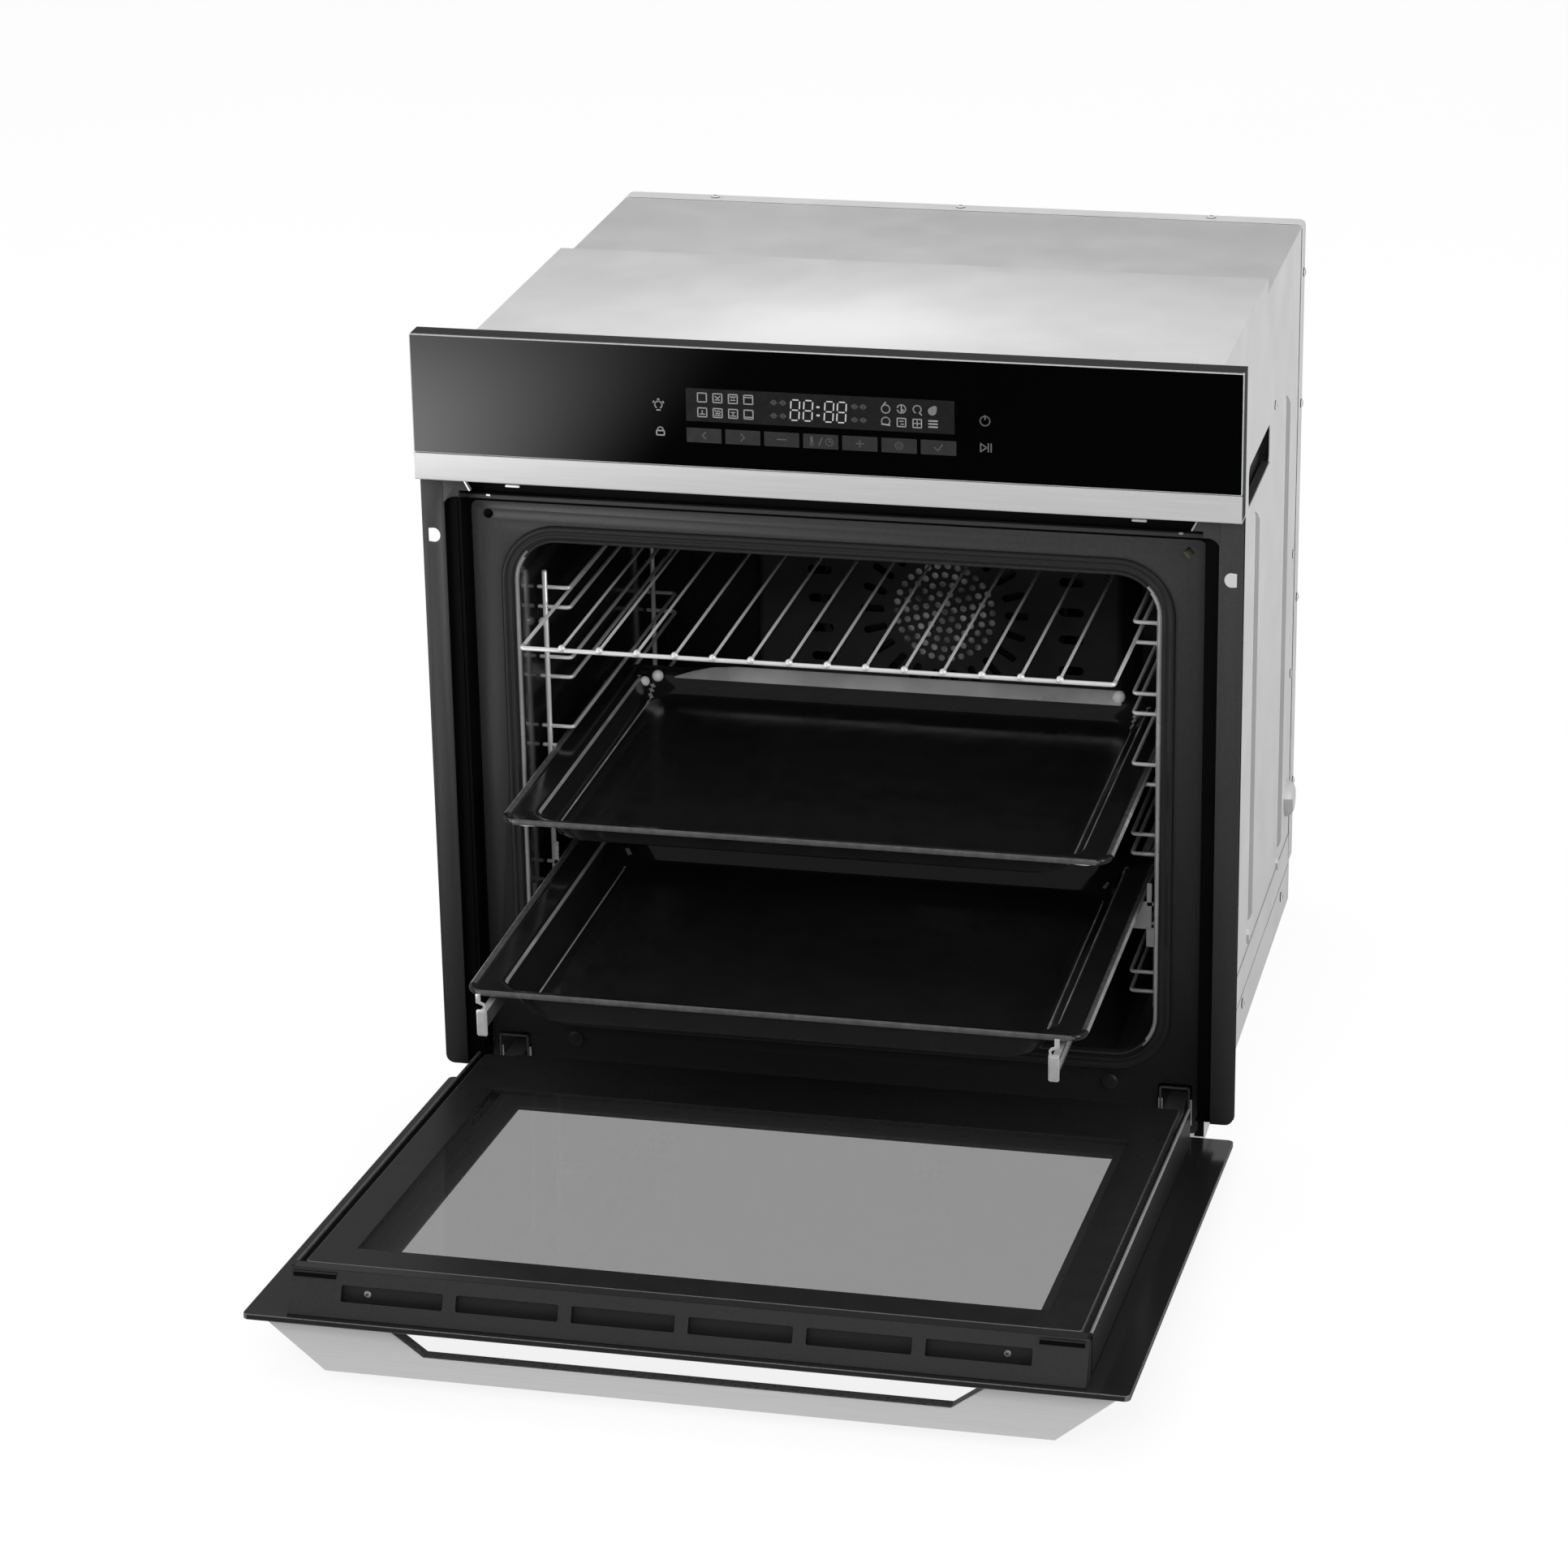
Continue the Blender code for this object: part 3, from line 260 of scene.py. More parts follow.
NODE_FINISH = {
    "galvanised": "base_pan rear_cover lamp_holder cooling_duct blower_housing blower_wheel "
                  "blower_motor fan_motor top_cover side_panel",
    "dark_steel": "hinge_case hinge_arm",
    "steel": "runner_rail runner_slide panel_trim hinge_pin door_handle",
    "cavity": "cavity fan_cover",
    "enamel": "shallow_tray deep_tray convection_fan",
    "chassis": "chassis_front",
    "black_paint": "side_flange",
    "door_black": "door_side door_bottom_bar",
    "rubber": "door_gasket door_bumper",
    "element": "ring_element grill_element bottom_element",
    "wool": "insulation",
    "board": "control_board",
    "chrome": "side_rack wire_rack",
    "plastic": "panel_carrier display_module terminal_block carry_cup door_top_trim door_clip",
    "glass_black": "control_glass door_outer_glass",
    "pane": "lamp_lens door_middle_glass door_inner_glass",
}


def finish_cad_nodes():
    """Gives every CAD node its material; a name stands for its left and right nodes too."""
    for finish, names in NODE_FINISH.items():
        for name in names.split():
            for full in (name, name + "_left", name + "_right"):
                if full in frame["nodes"]:
                    slots = frame["nodes"][full].data.materials
                    slots.clear()
                    slots.append(MAT[finish])


# ------------------------ mesh helpers

def P(x, d, z):
    """A place from its depth behind the cabinet's front edge."""
    return Vector((x, CAB + d, z))


def keep(name, shape, mats, replaces="", body="oven", smooth=35.0):
    """Turns a bmesh into a finished piece riding on a CAD body; the door's are built shut."""
    if body == "door":
        bmesh.ops.transform(shape, matrix=TO_OPEN, verts=shape.verts)
    mesh = bpy.data.meshes.new(name)
    shape.to_mesh(mesh)
    shape.free()
    mesh.shade_smooth()
    mesh.set_sharp_from_angle(angle=math.radians(smooth))
    obj = bpy.data.objects.new(name, mesh)
    bpy.context.scene.collection.objects.link(obj)
    for mat in mats.split():
        mesh.materials.append(MAT[mat])
    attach(obj, body)
    if replaces:
        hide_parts(replaces)
    return obj


def add_sheet(obj, thickness, offset):
    sheet = obj.modifiers.new("sheet", "SOLIDIFY")
    sheet.thickness = thickness
    sheet.offset = offset


def outward(shape):
    bmesh.ops.recalc_face_normals(shape, faces=shape.faces)


def paint(shape, test, index=1):
    """Gives a material index to the faces whose middle and normal pass the test."""
    for face in shape.faces:
        if test(face.calc_center_median(), face.normal):
            face.material_index = index


def eased(n):
    """Whether a normal belongs to an eased edge, not to a flat side."""
    return max(abs(n.x), abs(n.y), abs(n.z)) < 0.97


def around(sides):
    return [2 * math.pi * k / sides for k in range(sides)]


def quarter(steps):
    return [math.pi / 2 * k / steps for k in range(steps + 1)]


def rounded(half_u, low_v, high_v, radius, steps=8, middle_u=0.0):
    """A rectangle with rounded corners."""
    radius = max(radius, 0.0001)
    u, low, high = half_u - radius, low_v + radius, high_v - radius
    loop = []
    for cu, cv, start in ((u, low, -90), (u, high, 0), (-u, high, 90), (-u, low, 180)):
        for i in range(steps + 1):
            a = math.radians(start + 90 * i / steps)
            loop.append((middle_u + cu + radius * math.cos(a), cv + radius * math.sin(a)))
    return loop


def circle(u, v, radius, sides=20):
    return [(u + radius * math.cos(a), v + radius * math.sin(a)) for a in around(sides)]


def add_loft(shape, rings, cap_first=False, cap_last=False, closed=True, index=0):
    """Skins like rings of points; closed says whether each ring closes on itself."""
    rows = [[shape.verts.new(p) for p in ring] for ring in rings]
    count = len(rows[0])
    faces = []
    for a, b in zip(rows, rows[1:]):
        for i in range(count if closed else count - 1):
            j = (i + 1) % count
            faces.append(shape.faces.new((a[i], a[j], b[j], b[i])))
    if cap_first:
        faces.append(shape.faces.new(rows[0][::-1]))
    if cap_last:
        faces.append(shape.faces.new(rows[-1]))
    for face in faces:
        face.material_index = index
    return faces


def sweep(axis, section, places):
    """Rings of a section moved along x, d or z; its points give the other two."""
    k = "xdz".index(axis)
    return [[P(*point[:k], place, *point[k:]) for point in section] for place in places]


def add_bar(shape, axis, section, places, index=0):
    add_loft(shape, sweep(axis, section, places), True, True, index=index)


def add_box(shape, x, d, z, bevel=0.0, index=0):
    verts = bmesh.ops.create_cube(shape, size=1.0)["verts"]
    bmesh.ops.scale(shape, vec=(x[1] - x[0], d[1] - d[0], z[1] - z[0]), verts=verts)
    bmesh.ops.translate(shape, vec=P(sum(x) / 2, sum(d) / 2, sum(z) / 2), verts=verts)
    for face in {f for v in verts for f in v.link_faces}:
        face.material_index = index
    if bevel:
        edges = {e for v in verts for e in v.link_edges}
        bmesh.ops.bevel(shape, geom=list(edges), offset=bevel, segments=2, affect="EDGES")


def span(sign, inner, outer):
    return tuple(sorted((sign * inner, sign * outer)))


def side_boxes(shape, sign, *rows):
    """Boxes on one side, each given by its x, d and z limits, bevel and index."""
    for x0, x1, d0, d1, z0, z1, *rest in rows:
        add_box(shape, span(sign, x0, x1), (d0, d1), (z0, z1), *rest)


def add_ball(shape, centre, radius, index=0):
    made = bmesh.ops.create_uvsphere(shape, u_segments=12, v_segments=8, radius=radius)
    bmesh.ops.translate(shape, vec=centre, verts=made["verts"])
    for face in {f for v in made["verts"] for f in v.link_faces}:
        face.material_index = index


def fillet(points, bend):
    """Replaces each inner corner of a path with a short curve."""
    path = [points[0]]
    for before, spot, after in zip(points, points[1:], points[2:]):
        before, after = before - spot, after - spot
        reach = min(bend, before.length * 0.45, after.length * 0.45)
        a, b = spot + before.normalized() * reach, spot + after.normalized() * reach
        for k in range(6):
            t = k / 5
            path.append(a * (1 - t) ** 2 + spot * (2 * t * (1 - t)) + b * t ** 2)
    return path + [points[-1]]


def add_wire(shape, points, radius, sides=10, bend=0.004, index=0):
    """A round wire with soft bends and domed ends along points."""
    path = fillet([Vector(p) for p in points], bend)
    last = len(path) - 1
    steps = [path[min(i + 1, last)] - path[max(i - 1, 0)] for i in range(last + 1)]
    tangents = [step.normalized() for step in steps]
    side = tangents[0].orthogonal().normalized()
    rings = []
    for spot, along in zip(path, tangents):
        side = (side - along * side.dot(along)).normalized()
        up = along.cross(side)
        rings.append([spot + (side * math.cos(a) + up * math.sin(a)) * radius for a in around(sides)])
    tips = []
    for end, along, ring in ((path[0], -tangents[0], rings[0]), (path[-1], tangents[-1], rings[-1])):
        tips.append([end + (p - end) * 0.6 + along * radius * 0.5 for p in ring])
    add_loft(shape, [tips[0], *rings, tips[1]], True, True, index=index)


def flat_plate(loops, thickness, to_world, rim=0.0):
    """A bmesh plate from outlines and holes, its edges eased by rim, laid out by to_world."""
    curve = bpy.data.curves.new("outline", "CURVE")
    curve.dimensions = "2D"
    curve.fill_mode = "BOTH"
    curve.extrude = thickness / 2 - rim
    curve.bevel_depth = rim
    curve.bevel_resolution = 1
    curve.offset = -rim
    for loop in loops:
        spline = curve.splines.new("POLY")
        spline.points.add(len(loop) - 1)
        for spot, (u, v) in zip(spline.points, loop):
            spot.co = (u, v, 0.0, 1.0)
        spline.use_cyclic_u = True
    helper = bpy.data.objects.new("outline", curve)
    bpy.context.scene.collection.objects.link(helper)
    bpy.context.view_layer.update()
    mesh = bpy.data.meshes.new_from_object(helper.evaluated_get(bpy.context.evaluated_depsgraph_get()))
    bpy.data.objects.remove(helper, do_unlink=True)
    shape = bmesh.new()
    shape.from_mesh(mesh)
    bmesh.ops.remove_doubles(shape, verts=shape.verts, dist=0.000005)
    bmesh.ops.transform(shape, matrix=to_world, verts=shape.verts)
    outward(shape)
    return shape


def front_plate(loops, thickness, front, rim=0.0):
    """A plate facing forward, its front face at depth front."""
    turn = Matrix.Translation(P(0.0, front + thickness / 2, 0.0)) @ Matrix.Rotation(math.pi / 2, 4, "X")
    return flat_plate(loops, thickness, turn, rim)


def merge(shape, other):
    """Adds another bmesh to shape and frees it."""
    mesh = bpy.data.meshes.new("part")
    other.to_mesh(mesh)
    other.free()
    shape.from_mesh(mesh)
    bpy.data.meshes.remove(mesh)


def add_screw(shape, centre, normal, radius=0.0036, height=0.0014, index=0, recess=1):
    """A pan head with a cross recess."""
    normal = Vector(normal)
    side = normal.orthogonal().normalized()
    up = normal.cross(side)
    rings = []
    for r, h in ((1.0, 0.0), (0.98, 0.45), (0.85, 0.8), (0.6, 1.0)):
        rings.append([centre + (side * math.cos(a) + up * math.sin(a)) * radius * r + normal * height * h
                      for a in around(16)])
    faces = add_loft(shape, rings, cap_last=True, index=index)
    # the foot ring and the cross take the recess index: painted shade in the gap round the head and in the
    # cross, where that material is dark
    for face in faces[:16]:
        face.material_index = recess
    for a, b in ((side, up), (up, side)):
        quad = [centre + a * radius * su * 0.5 + b * radius * sv * 0.12 + normal * height * 1.03
                for su, sv in ((-1, -1), (1, -1), (1, 1), (-1, 1))]
        shape.faces.new([shape.verts.new(p) for p in quad]).material_index = recess


# ------------------------ control panel

def control_glass():
    """The glass slab with ground edges, painted light grey as their highlight."""
    shape = front_plate([rounded(FRONT_HALF, PANEL_LO.z, PANEL_TOP, 0.0012, 3)], GLASS, PANEL_D, 0.0008)
    # the eased faces take a light grey: painted highlight
    paint(shape, lambda spot, n: eased(n))
    keep("control_panel_glass", shape, "glass_black glass_edge", "control_glass", smooth=20)


def panel_face():
    """The display window and the seven touch keys, printed on the glass."""
    front = PANEL_D - 0.00012
    window = rounded(0.096, PANEL_TOP - 0.0538, PANEL_TOP - 0.0297, 0.0006, 2)
    keep("display_window", front_plate([window], 0.00008, front), "screen")
    shape = bmesh.new()
    for i in range(7):
        key = rounded(0.0126, PANEL_TOP - 0.0693, PANEL_TOP - 0.0587, 0.0004, 2, 0.028 * i - 0.0834)
        merge(shape, front_plate([key], 0.00008, front))
    keep("touch_keys", shape, "key")


def ribbon(shape, points, width=LINE, closed=False):
    """A flat printed line through x, z points on the panel's face."""
    count = len(points)
    for i in range(count if closed else count - 1):
        a, b = Vector(points[i]), Vector(points[(i + 1) % count])
        along = (b - a).normalized()
        across = Vector((-along.y, along.x)) * width / 2
        a, b = a - along * width * 0.5, b + along * width * 0.5
        corners = (a - across, b - across, b + across, a + across)
        shape.faces.new([shape.verts.new((c.x, PRINT_Y, c.y)) for c in corners])


def strokes(shape, x, z, *lines, width=LINE):
    """Printed lines around x, z, their points in tenths of a millimetre."""
    for line in lines:
        ribbon(shape, [(x + u / 10000, z + v / 10000) for u, v in line], width)


def ring(shape, x, z, radius, start=0, end=360, steps=14, width=LINE):
    """A printed arc, its angles in degrees."""
    angles = [math.radians(start + (end - start) * i / steps) for i in range(steps + 1)]
    ribbon(shape, [(x + radius * math.cos(a), z + radius * math.sin(a)) for a in angles], width)


def framed(shape, x, z, half, *inner):
    """A square icon with strokes inside, the strokes given on a -10 to 10 grid."""
    corners = [(x - half, z - half), (x + half, z - half), (x + half, z + half), (x - half, z + half)]
    ribbon(shape, corners, closed=True)
    for stroke in inner:
        ribbon(shape, [(x + u / 10 * half, z + v / 10 * half) for u, v in stroke], 0.0007)


def seven_segments(shape, x, z, u, v):
    """An 8 made of seven tapered bars, with half width u and half height v, leaning a little."""
    t, lean = 0.00048, 0.06
    bars = [((-u, v), (u, v)), ((-u, 0), (u, 0)), ((-u, -v), (u, -v))]
    bars += [((s * u, 0), (s * u, v)) for s in (-1, 1)] + [((s * u, -v), (s * u, 0)) for s in (-1, 1)]
    for a, b in bars:
        a, b = Vector(a), Vector(b)
        along = (b - a).normalized()
        across = Vector((-along.y, along.x)) * t
        a, b = a + along * 0.0007, b - along * 0.0007
        corners = (a, a + along * t + across, b - along * t + across, b,
                   b - along * t - across, a + along * t - across)
        shape.faces.new([shape.verts.new((x + c.x + lean * c.y, PRINT_Y, z + c.y)) for c in corners])


def function_icons(shape):
    """Two rows of cooking functions left of the clock."""
    insides = (
        (), ([(-5, 4), (0, -1), (5, 4)], [(-5, -4), (5, -4)], [(0, -4), (0, 1)]),
        ([(-6, 6), (-3, 2), (0, 6), (3, 2), (6, 6)], [(-5, -3), (5, -3)]), ([(-8, 5), (8, 5)],),
        ([(-5, -4), (5, -4)], [(0, -3), (0, 4)]),
        ([(-6, 6), (-2, 2), (2, 6), (6, 2)], [(-6, -5), (6, -5)], [(-4, -1), (4, -1)]),
        ([(-6, -5), (6, -5)], [(-4, 3), (4, 3)], [(0, 2), (0, -2)]), ([(-7, -6), (7, -6)],),
    )
    for i, inner in enumerate(insides):
        x, z = -0.0843 + 0.01112 * (i % 4), PANEL_TOP - 0.0362 - 0.0108 * (i // 4)
        framed(shape, x, z, 0.0032, *inner)


def food_icons(shape):
    """Two rows of food marks right of the clock."""
    x = [0.0472 + 0.0112 * i for i in range(4)]
    upper, lower = PANEL_TOP - 0.0372, PANEL_TOP - 0.047
    ring(shape, x[0], upper - 0.0006, 0.003)
    ring(shape, x[1], upper, 0.003, 200, 520)
    ring(shape, x[2], upper + 0.0002, 0.0028, -60, 240)
    ring(shape, x[0], lower + 0.0003, 0.0029, -40, 220)
    strokes(shape, x[0], upper, [(-14, 26), (0, 42)])
    strokes(shape, x[1], upper, [(0, 26), (0, -22), (14, -8)])
    strokes(shape, x[2], upper, [(14, -22), (30, -36)])
    strokes(shape, x[0], lower, [(-26, -18), (26, -24)], width=0.0011)
    for k in range(4):
        ring(shape, x[3] - 0.0006 + 0.0006 * k, upper - 0.0006 + 0.0008 * k, 0.0024 - 0.0005 * k,
             steps=10, width=0.0011)
    framed(shape, x[1], lower, 0.003, [(-4, 3), (4, 3)], [(-1, -4), (5, -4)])
    framed(shape, x[2], lower - 0.0002, 0.003, [(-8, 0), (8, 0)], [(0, 6), (0, -6)])
    strokes(shape, x[3], lower, *([(-28, v), (28, v)] for v in (22, 0, -22)), width=0.0011)


def side_icons(left, right):
    """Lamp and lock marks left of the display, dimmer power and play marks right of it."""
    w = 0.0009
    x, z = -0.116, PANEL_TOP - 0.0431
    ring(left, x, z, 0.0026, -50, 230, 12, w)
    strokes(left, x, z, [(-10, -38), (10, -38)], width=w)
    for a in (30, 90, 150):
        ring(left, x, z, 0.0041, a - 6, a + 6, 1, w)
    x, z = -0.115, PANEL_TOP - 0.063
    body = ((-0.0028, -0.0022), (0.0028, -0.0022), (0.0028, 0.001), (-0.0028, 0.001))
    ribbon(left, [(x + u, z + v) for u, v in body], w, closed=True)
    ring(left, x, z + 0.0016, 0.002, 0, 180, 8, w)
    x, z = 0.1175, PANEL_TOP - 0.0429
    ring(right, x, z, 0.0034, 110, 430, 16, w)
    strokes(right, x, z, [(0, 12), (0, 38)], width=w)
    x, z = 0.118, PANEL_TOP - 0.0622
    ribbon(right, [(x - 0.0036, z - 0.003), (x - 0.0036, z + 0.003), (x + 0.0006, z)], w, closed=True)
    strokes(right, x, z, *([(u, -28), (u, 28)] for u in (18, 38)), width=w)


def key_icons(shape):
    """One mark on each touch key."""
    z = PANEL_TOP - 0.064
    x = [0.028 * i - 0.0834 for i in range(7)]
    strokes(shape, x[0], z, [(12, 24), (-12, 0), (12, -24)])
    strokes(shape, x[1], z, [(-12, 24), (12, 0), (-12, -24)])
    strokes(shape, x[2], z, [(-30, 0), (30, 0)])
    strokes(shape, x[3], z, [(-65, 26), (-65, -12)], width=0.0018)
    strokes(shape, x[3], z, [(-12, -28), (10, 28)], [(62, 16), (62, 0), (76, 0)])
    strokes(shape, x[4], z, [(-24, 0), (24, 0)], [(0, -24), (0, 24)])
    strokes(shape, x[6], z, [(-28, 0), (-6, -22), (28, 24)])
    ring(shape, x[3] - 0.0065, z - 0.002, 0.0012, steps=10)
    ring(shape, x[3] + 0.0062, z, 0.0026)
    ring(shape, x[5], z, 0.0027)
    ring(shape, x[5], z, 0.0013, steps=10)


def panel_symbols():
    """Everything printed or lit on the panel, in four strengths."""
    bright, dim, clock, faint = (bmesh.new() for _ in range(4))
    function_icons(bright)
    food_icons(bright)
    side_icons(bright, dim)
    keep("panel_symbols", bright, "symbol")
    keep("standby_symbols", dim, "dim_symbol")
    middle = PANEL_TOP - 0.042
    for x in (-0.0175, -0.0082, 0.0068, 0.0158):
        seven_segments(clock, x, middle, 0.0031, 0.0074)
    for v in (-0.003, 0.003):
        ribbon(clock, [(-0.0014, middle + v), (-0.0006, middle + v)], 0.0014)
    keep("clock_digits", clock, "digit")
    key_icons(faint)
    for x in (-0.0328, -0.0262, 0.025, 0.0312):
        for z in (PANEL_TOP - 0.0372, PANEL_TOP - 0.0468):
            ring(faint, x, z, 0.0016, steps=8, width=0.0007)
            strokes(faint, x, z, [(-22, 0), (22, 0)], width=0.0007)
    keep("key_symbols", faint, "faint")


def carrier_back():
    """Black plate that closes the control panel's carrier above the cabinet."""
    shape = bmesh.new()
    add_box(shape, (-0.293, 0.293), (-0.0026, -0.0012), (0.56, 0.5985), EASE)
    keep("carrier_back", shape, "plastic")


def panel_trim():
    """The brushed strip: one folded profile with a soft front corner."""
    y0, y1 = TRIM_LO.y - CAB, TRIM_HI.y - CAB
    low, top, t, r = TRIM_LO.z, TRIM_HI.z, 0.0011, 0.0012
    corner = [(y0 + r - r * math.sin(a), low + r - r * math.cos(a)) for a in reversed(quarter(4))]
    section = [(y0 + 0.0003, top), (y0, top - 0.0003), *corner, (y1, low), (y1, low + t),
               (y0 + t, low + t), (y0 + t, top)]
    shape = bmesh.new()
    add_bar(shape, "x", section, (-FRONT_HALF, FRONT_HALF))
    outward(shape)
    keep("control_strip", shape, "steel", "panel_trim", smooth=40)


# ------------------------ front frame

def side_flange(side, sign):
    """Front plate with a D-shaped hole, its folded returns and its leg against the cabinet."""
    low, top, outer, r = FLANGE_LO.z, FLANGE_TOP, FRONT_HALF, 0.0065
    bend = [(outer - r + r * math.sin(a), low + r - r * math.cos(a)) for a in quarter(5)]
    outline = [(0.2804, low), *bend, (outer, top), (0.2804, top)]
    hx, hz = 0.2889, 0.4466
    hole = [(hx + 0.0042, hz - 0.005), (hx + 0.0042, hz + 0.005)]
    hole += [(hx + 0.0002 - 0.0048 * math.sin(a), hz + 0.0054 * math.cos(a))
             for a in (math.pi * k / 10 for k in range(11))]
    loops = [[(sign * u, v) for u, v in loop] for loop in (outline, hole)]
    shape = front_plate(loops, SHEET, FLANGE_D, EASE)
    rear = FLANGE_D + 0.0011
    side_boxes(shape, sign, (outer - SHEET, outer, rear, -0.0004, low + 0.004, top, 0.0002),
               (0.2804, 0.2816, rear, -0.0006, low, top, 0.0002),
               (0.2724, 0.2806, -0.0018, -0.0006, low, top, 0.0001),
               (0.2724, 0.2736, -0.0008, 0.016, low, top, 0.0001))
    # the inner return, its leg and the rear faces take the near-black recess material: painted shade in the
    # channel
    paint(shape, lambda spot, n: abs(spot.x) < 0.2803 or spot.y > CAB + FLANGE_D + 0.0016)
    keep("flange_" + side, shape, "black_paint recess", "side_flange_" + side)


def front_lintel():
    """Bar under the control strip, with the long slot that the cooling air leaves by.

    Its middle lies behind the place that the shut door's cap takes; two cheeks join it to the ends.
    """
    top, front, r = FLANGE_TOP, FLANGE_D, 0.009
    bar_low, bar_top, cap_top, end = top - 0.015, top - 0.012, 0.4813, 0.269
    back_low, back_top, back = bar_low - 0.0075, bar_top - 0.0075, 0.0143
    shape, liner, bits = bmesh.new(), bmesh.new(), bmesh.new()
    bend = [(0.2812 - r + r * math.cos(a), bar_low - r + r * math.sin(a)) for a in quarter(6)]
    outline = bend + [(end, bar_low), (end, cap_top), (0.2615, cap_top), (0.2672, top), (0.2812, top)]
    for sign in (-1, 1):
        merge(shape, front_plate([[(sign * x, z) for x, z in outline]], SHEET, front, EASE))
    add_box(shape, (-end, end), (back, back + SHEET), (back_low, back_top), EASE)
    add_box(shape, (-end, end), (back + 0.001, 0.0192), (back_top - SHEET, back_top - 0.0002))
    cheek = [(front + 0.001, bar_low - 0.0003), (front + 0.001, bar_top - 0.0003),
             (back + 0.001, back_top), (back + 0.001, back_low)]
    wedge = [(0.2604, cap_top + 0.0002), (0.2615, cap_top), (0.2664, top - 0.001), (0.2652, top - 0.0006)]
    for sign, dot_x in ((-1, -0.2538), (1, 0.2503)):
        add_bar(shape, "x", cheek, span(sign, end, end + 0.0009))
        side_boxes(bits, sign, (0.2205, 0.231, -0.0186, -0.017, top - 0.0022, top - 0.0006, EASE))
        add_box(bits, (dot_x - 0.0015, dot_x + 0.0015), (back - 0.0002, back + 0.0004),
                (back_top - 0.001, back_top + 0.0004), 0.0001)
        add_bar(bits, "d", [(sign * x, z) for x, z in wedge], (front + 0.0001, front + 0.0041))
    outward(shape)
    keep("air_outlet_bar", shape, "black_paint")
    # a near-black sheet behind the slot: painted shade in the slot
    add_box(liner, (-0.27, 0.27), (0.0194, 0.0202), (0.459, 0.4905))
    keep("outlet_back", liner, "recess")
    outward(bits)
    keep("outlet_brackets", bits, "bright")


def concentric(profile):
    """A bmesh skin around the oven's mouth: profile gives distance outside it and depth."""
    half, low, high, radius = MOUTH
    shape = bmesh.new()
    rings = []
    for out, d in profile:
        loop = rounded(half + out, low - out, high + out, max(radius + out, 0.002), 10)
        rings.append([P(x, d, z) for x, z in loop])
    add_loft(shape, rings)
    outward(shape)
    return shape


def chassis_front():
    """Enamelled plate with its holes, and the pressed ridges around the mouth."""
    lo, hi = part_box("chassis_front")
    face = lo.y - CAB
    half, low, high, radius = MOUTH
    loops = [rounded(hi.x, lo.z, 0.4662, 0.005, 5),
             rounded(half + 0.0006, low - 0.0006, high + 0.0006, radius, 10)]
    loops += [rounded(0.0125, 0.013, 0.047, 0.002, 3, x) for x in (-0.251, 0.251)]
    loops += [circle(-0.2555, 0.4565, 0.0036, 20), circle(0.2555, 0.4565, 0.0044, 4)]
    keep("chassis_plate", front_plate(loops, SHEET, face, 0.0004), "chassis", "chassis_front")
    lip = concentric([(0.0032, face - 0.0001), (0.0026, face - 0.001), (0.0016, face - 0.0014),
                      (0.0006, face - 0.001), (0.0, face + 0.0004), (-0.0002, face + 0.004)])
    # the lip's left and right runs take a pale grey: painted highlight
    paint(lip, lambda spot, n: abs(spot.x) > half - 0.006
          and CAB + face - 0.0014 < spot.y < CAB + face + 0.0001)
    keep("mouth_lip", lip, "bright_enamel edge_light")


def door_seal():
    """Hollow rubber seal pressed into a groove around the mouth."""
    lo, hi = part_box("door_gasket")
    near, far = lo.y - CAB, hi.y - CAB
    bulge = ((0.0128, 0.0012), (0.0118, 0.0004), (0.0104, 0.0002), (0.0092, 0.0007), (0.0084, 0.0015),
             (0.0076, 0.0015), (0.0068, 0.0006), (0.0058, 0.0), (0.0048, 0.0004), (0.0042, 0.0014))
    shape = concentric([(0.013, far), *((out, near + d) for out, d in bulge), (0.004, far)])
    keep("seal_ring", shape, "rubber", "door_gasket", smooth=60)


def recess_liner():
    """Near-black faces in the channel between the chassis and the flanges: painted shade in the channel."""
    shape = bmesh.new()
    for sign in (-1, 1):
        side_boxes(shape, sign, (0.2698, 0.2708, -0.0004, 0.0176, 0.0352, 0.4914),
                   (0.2698, 0.2723, -0.0009, 0.0002, 0.0352, 0.4914),
                   (0.2683, 0.2706, 0.018, 0.0186, 0.0352, 0.487),
                   (0.2698, 0.2806, -0.0065, 0.0176, 0.03, 0.0318),
                   (0.2655, 0.2724, 0.0186, 0.0196, 0.006, 0.0352))
    keep("recess_liner", shape, "recess")


def door_bumper(side, sign):
    """Round rubber button that the door's inner pane rests on."""
    shape = bmesh.new()
    profile = ((0.0058, 0.0177), (0.0058, 0.0166), (0.0046, 0.0158), (0.0042, 0.015), (0.003, 0.0148))
    rings = [[P(sign * 0.203 + r * math.cos(a), d, 0.0457 + r * math.sin(a)) for a in around(20)]
             for r, d in profile]
    add_loft(shape, rings, cap_last=True)
    outward(shape)
    keep("bumper_" + side, shape, "rubber", "door_bumper_" + side)


# ------------------------ cavity

def radial_slot(hub, a):
    """A rounded slot in the fan cover, pointing away from its hub at angle a."""
    along, across = Vector((math.cos(a), math.sin(a))), Vector((-math.sin(a), math.cos(a)))
    middle = along * 0.0585 + hub
    loop = []
    for reach, start in ((0.007, -math.pi / 2), (-0.007, math.pi / 2)):
        for k in range(8):
            t = math.pi * k / 7 + start
            loop.append(middle + along * (reach + 0.0028 * math.cos(t)) + across * 0.003 * math.sin(t))
    return [(p.x, p.y) for p in loop]


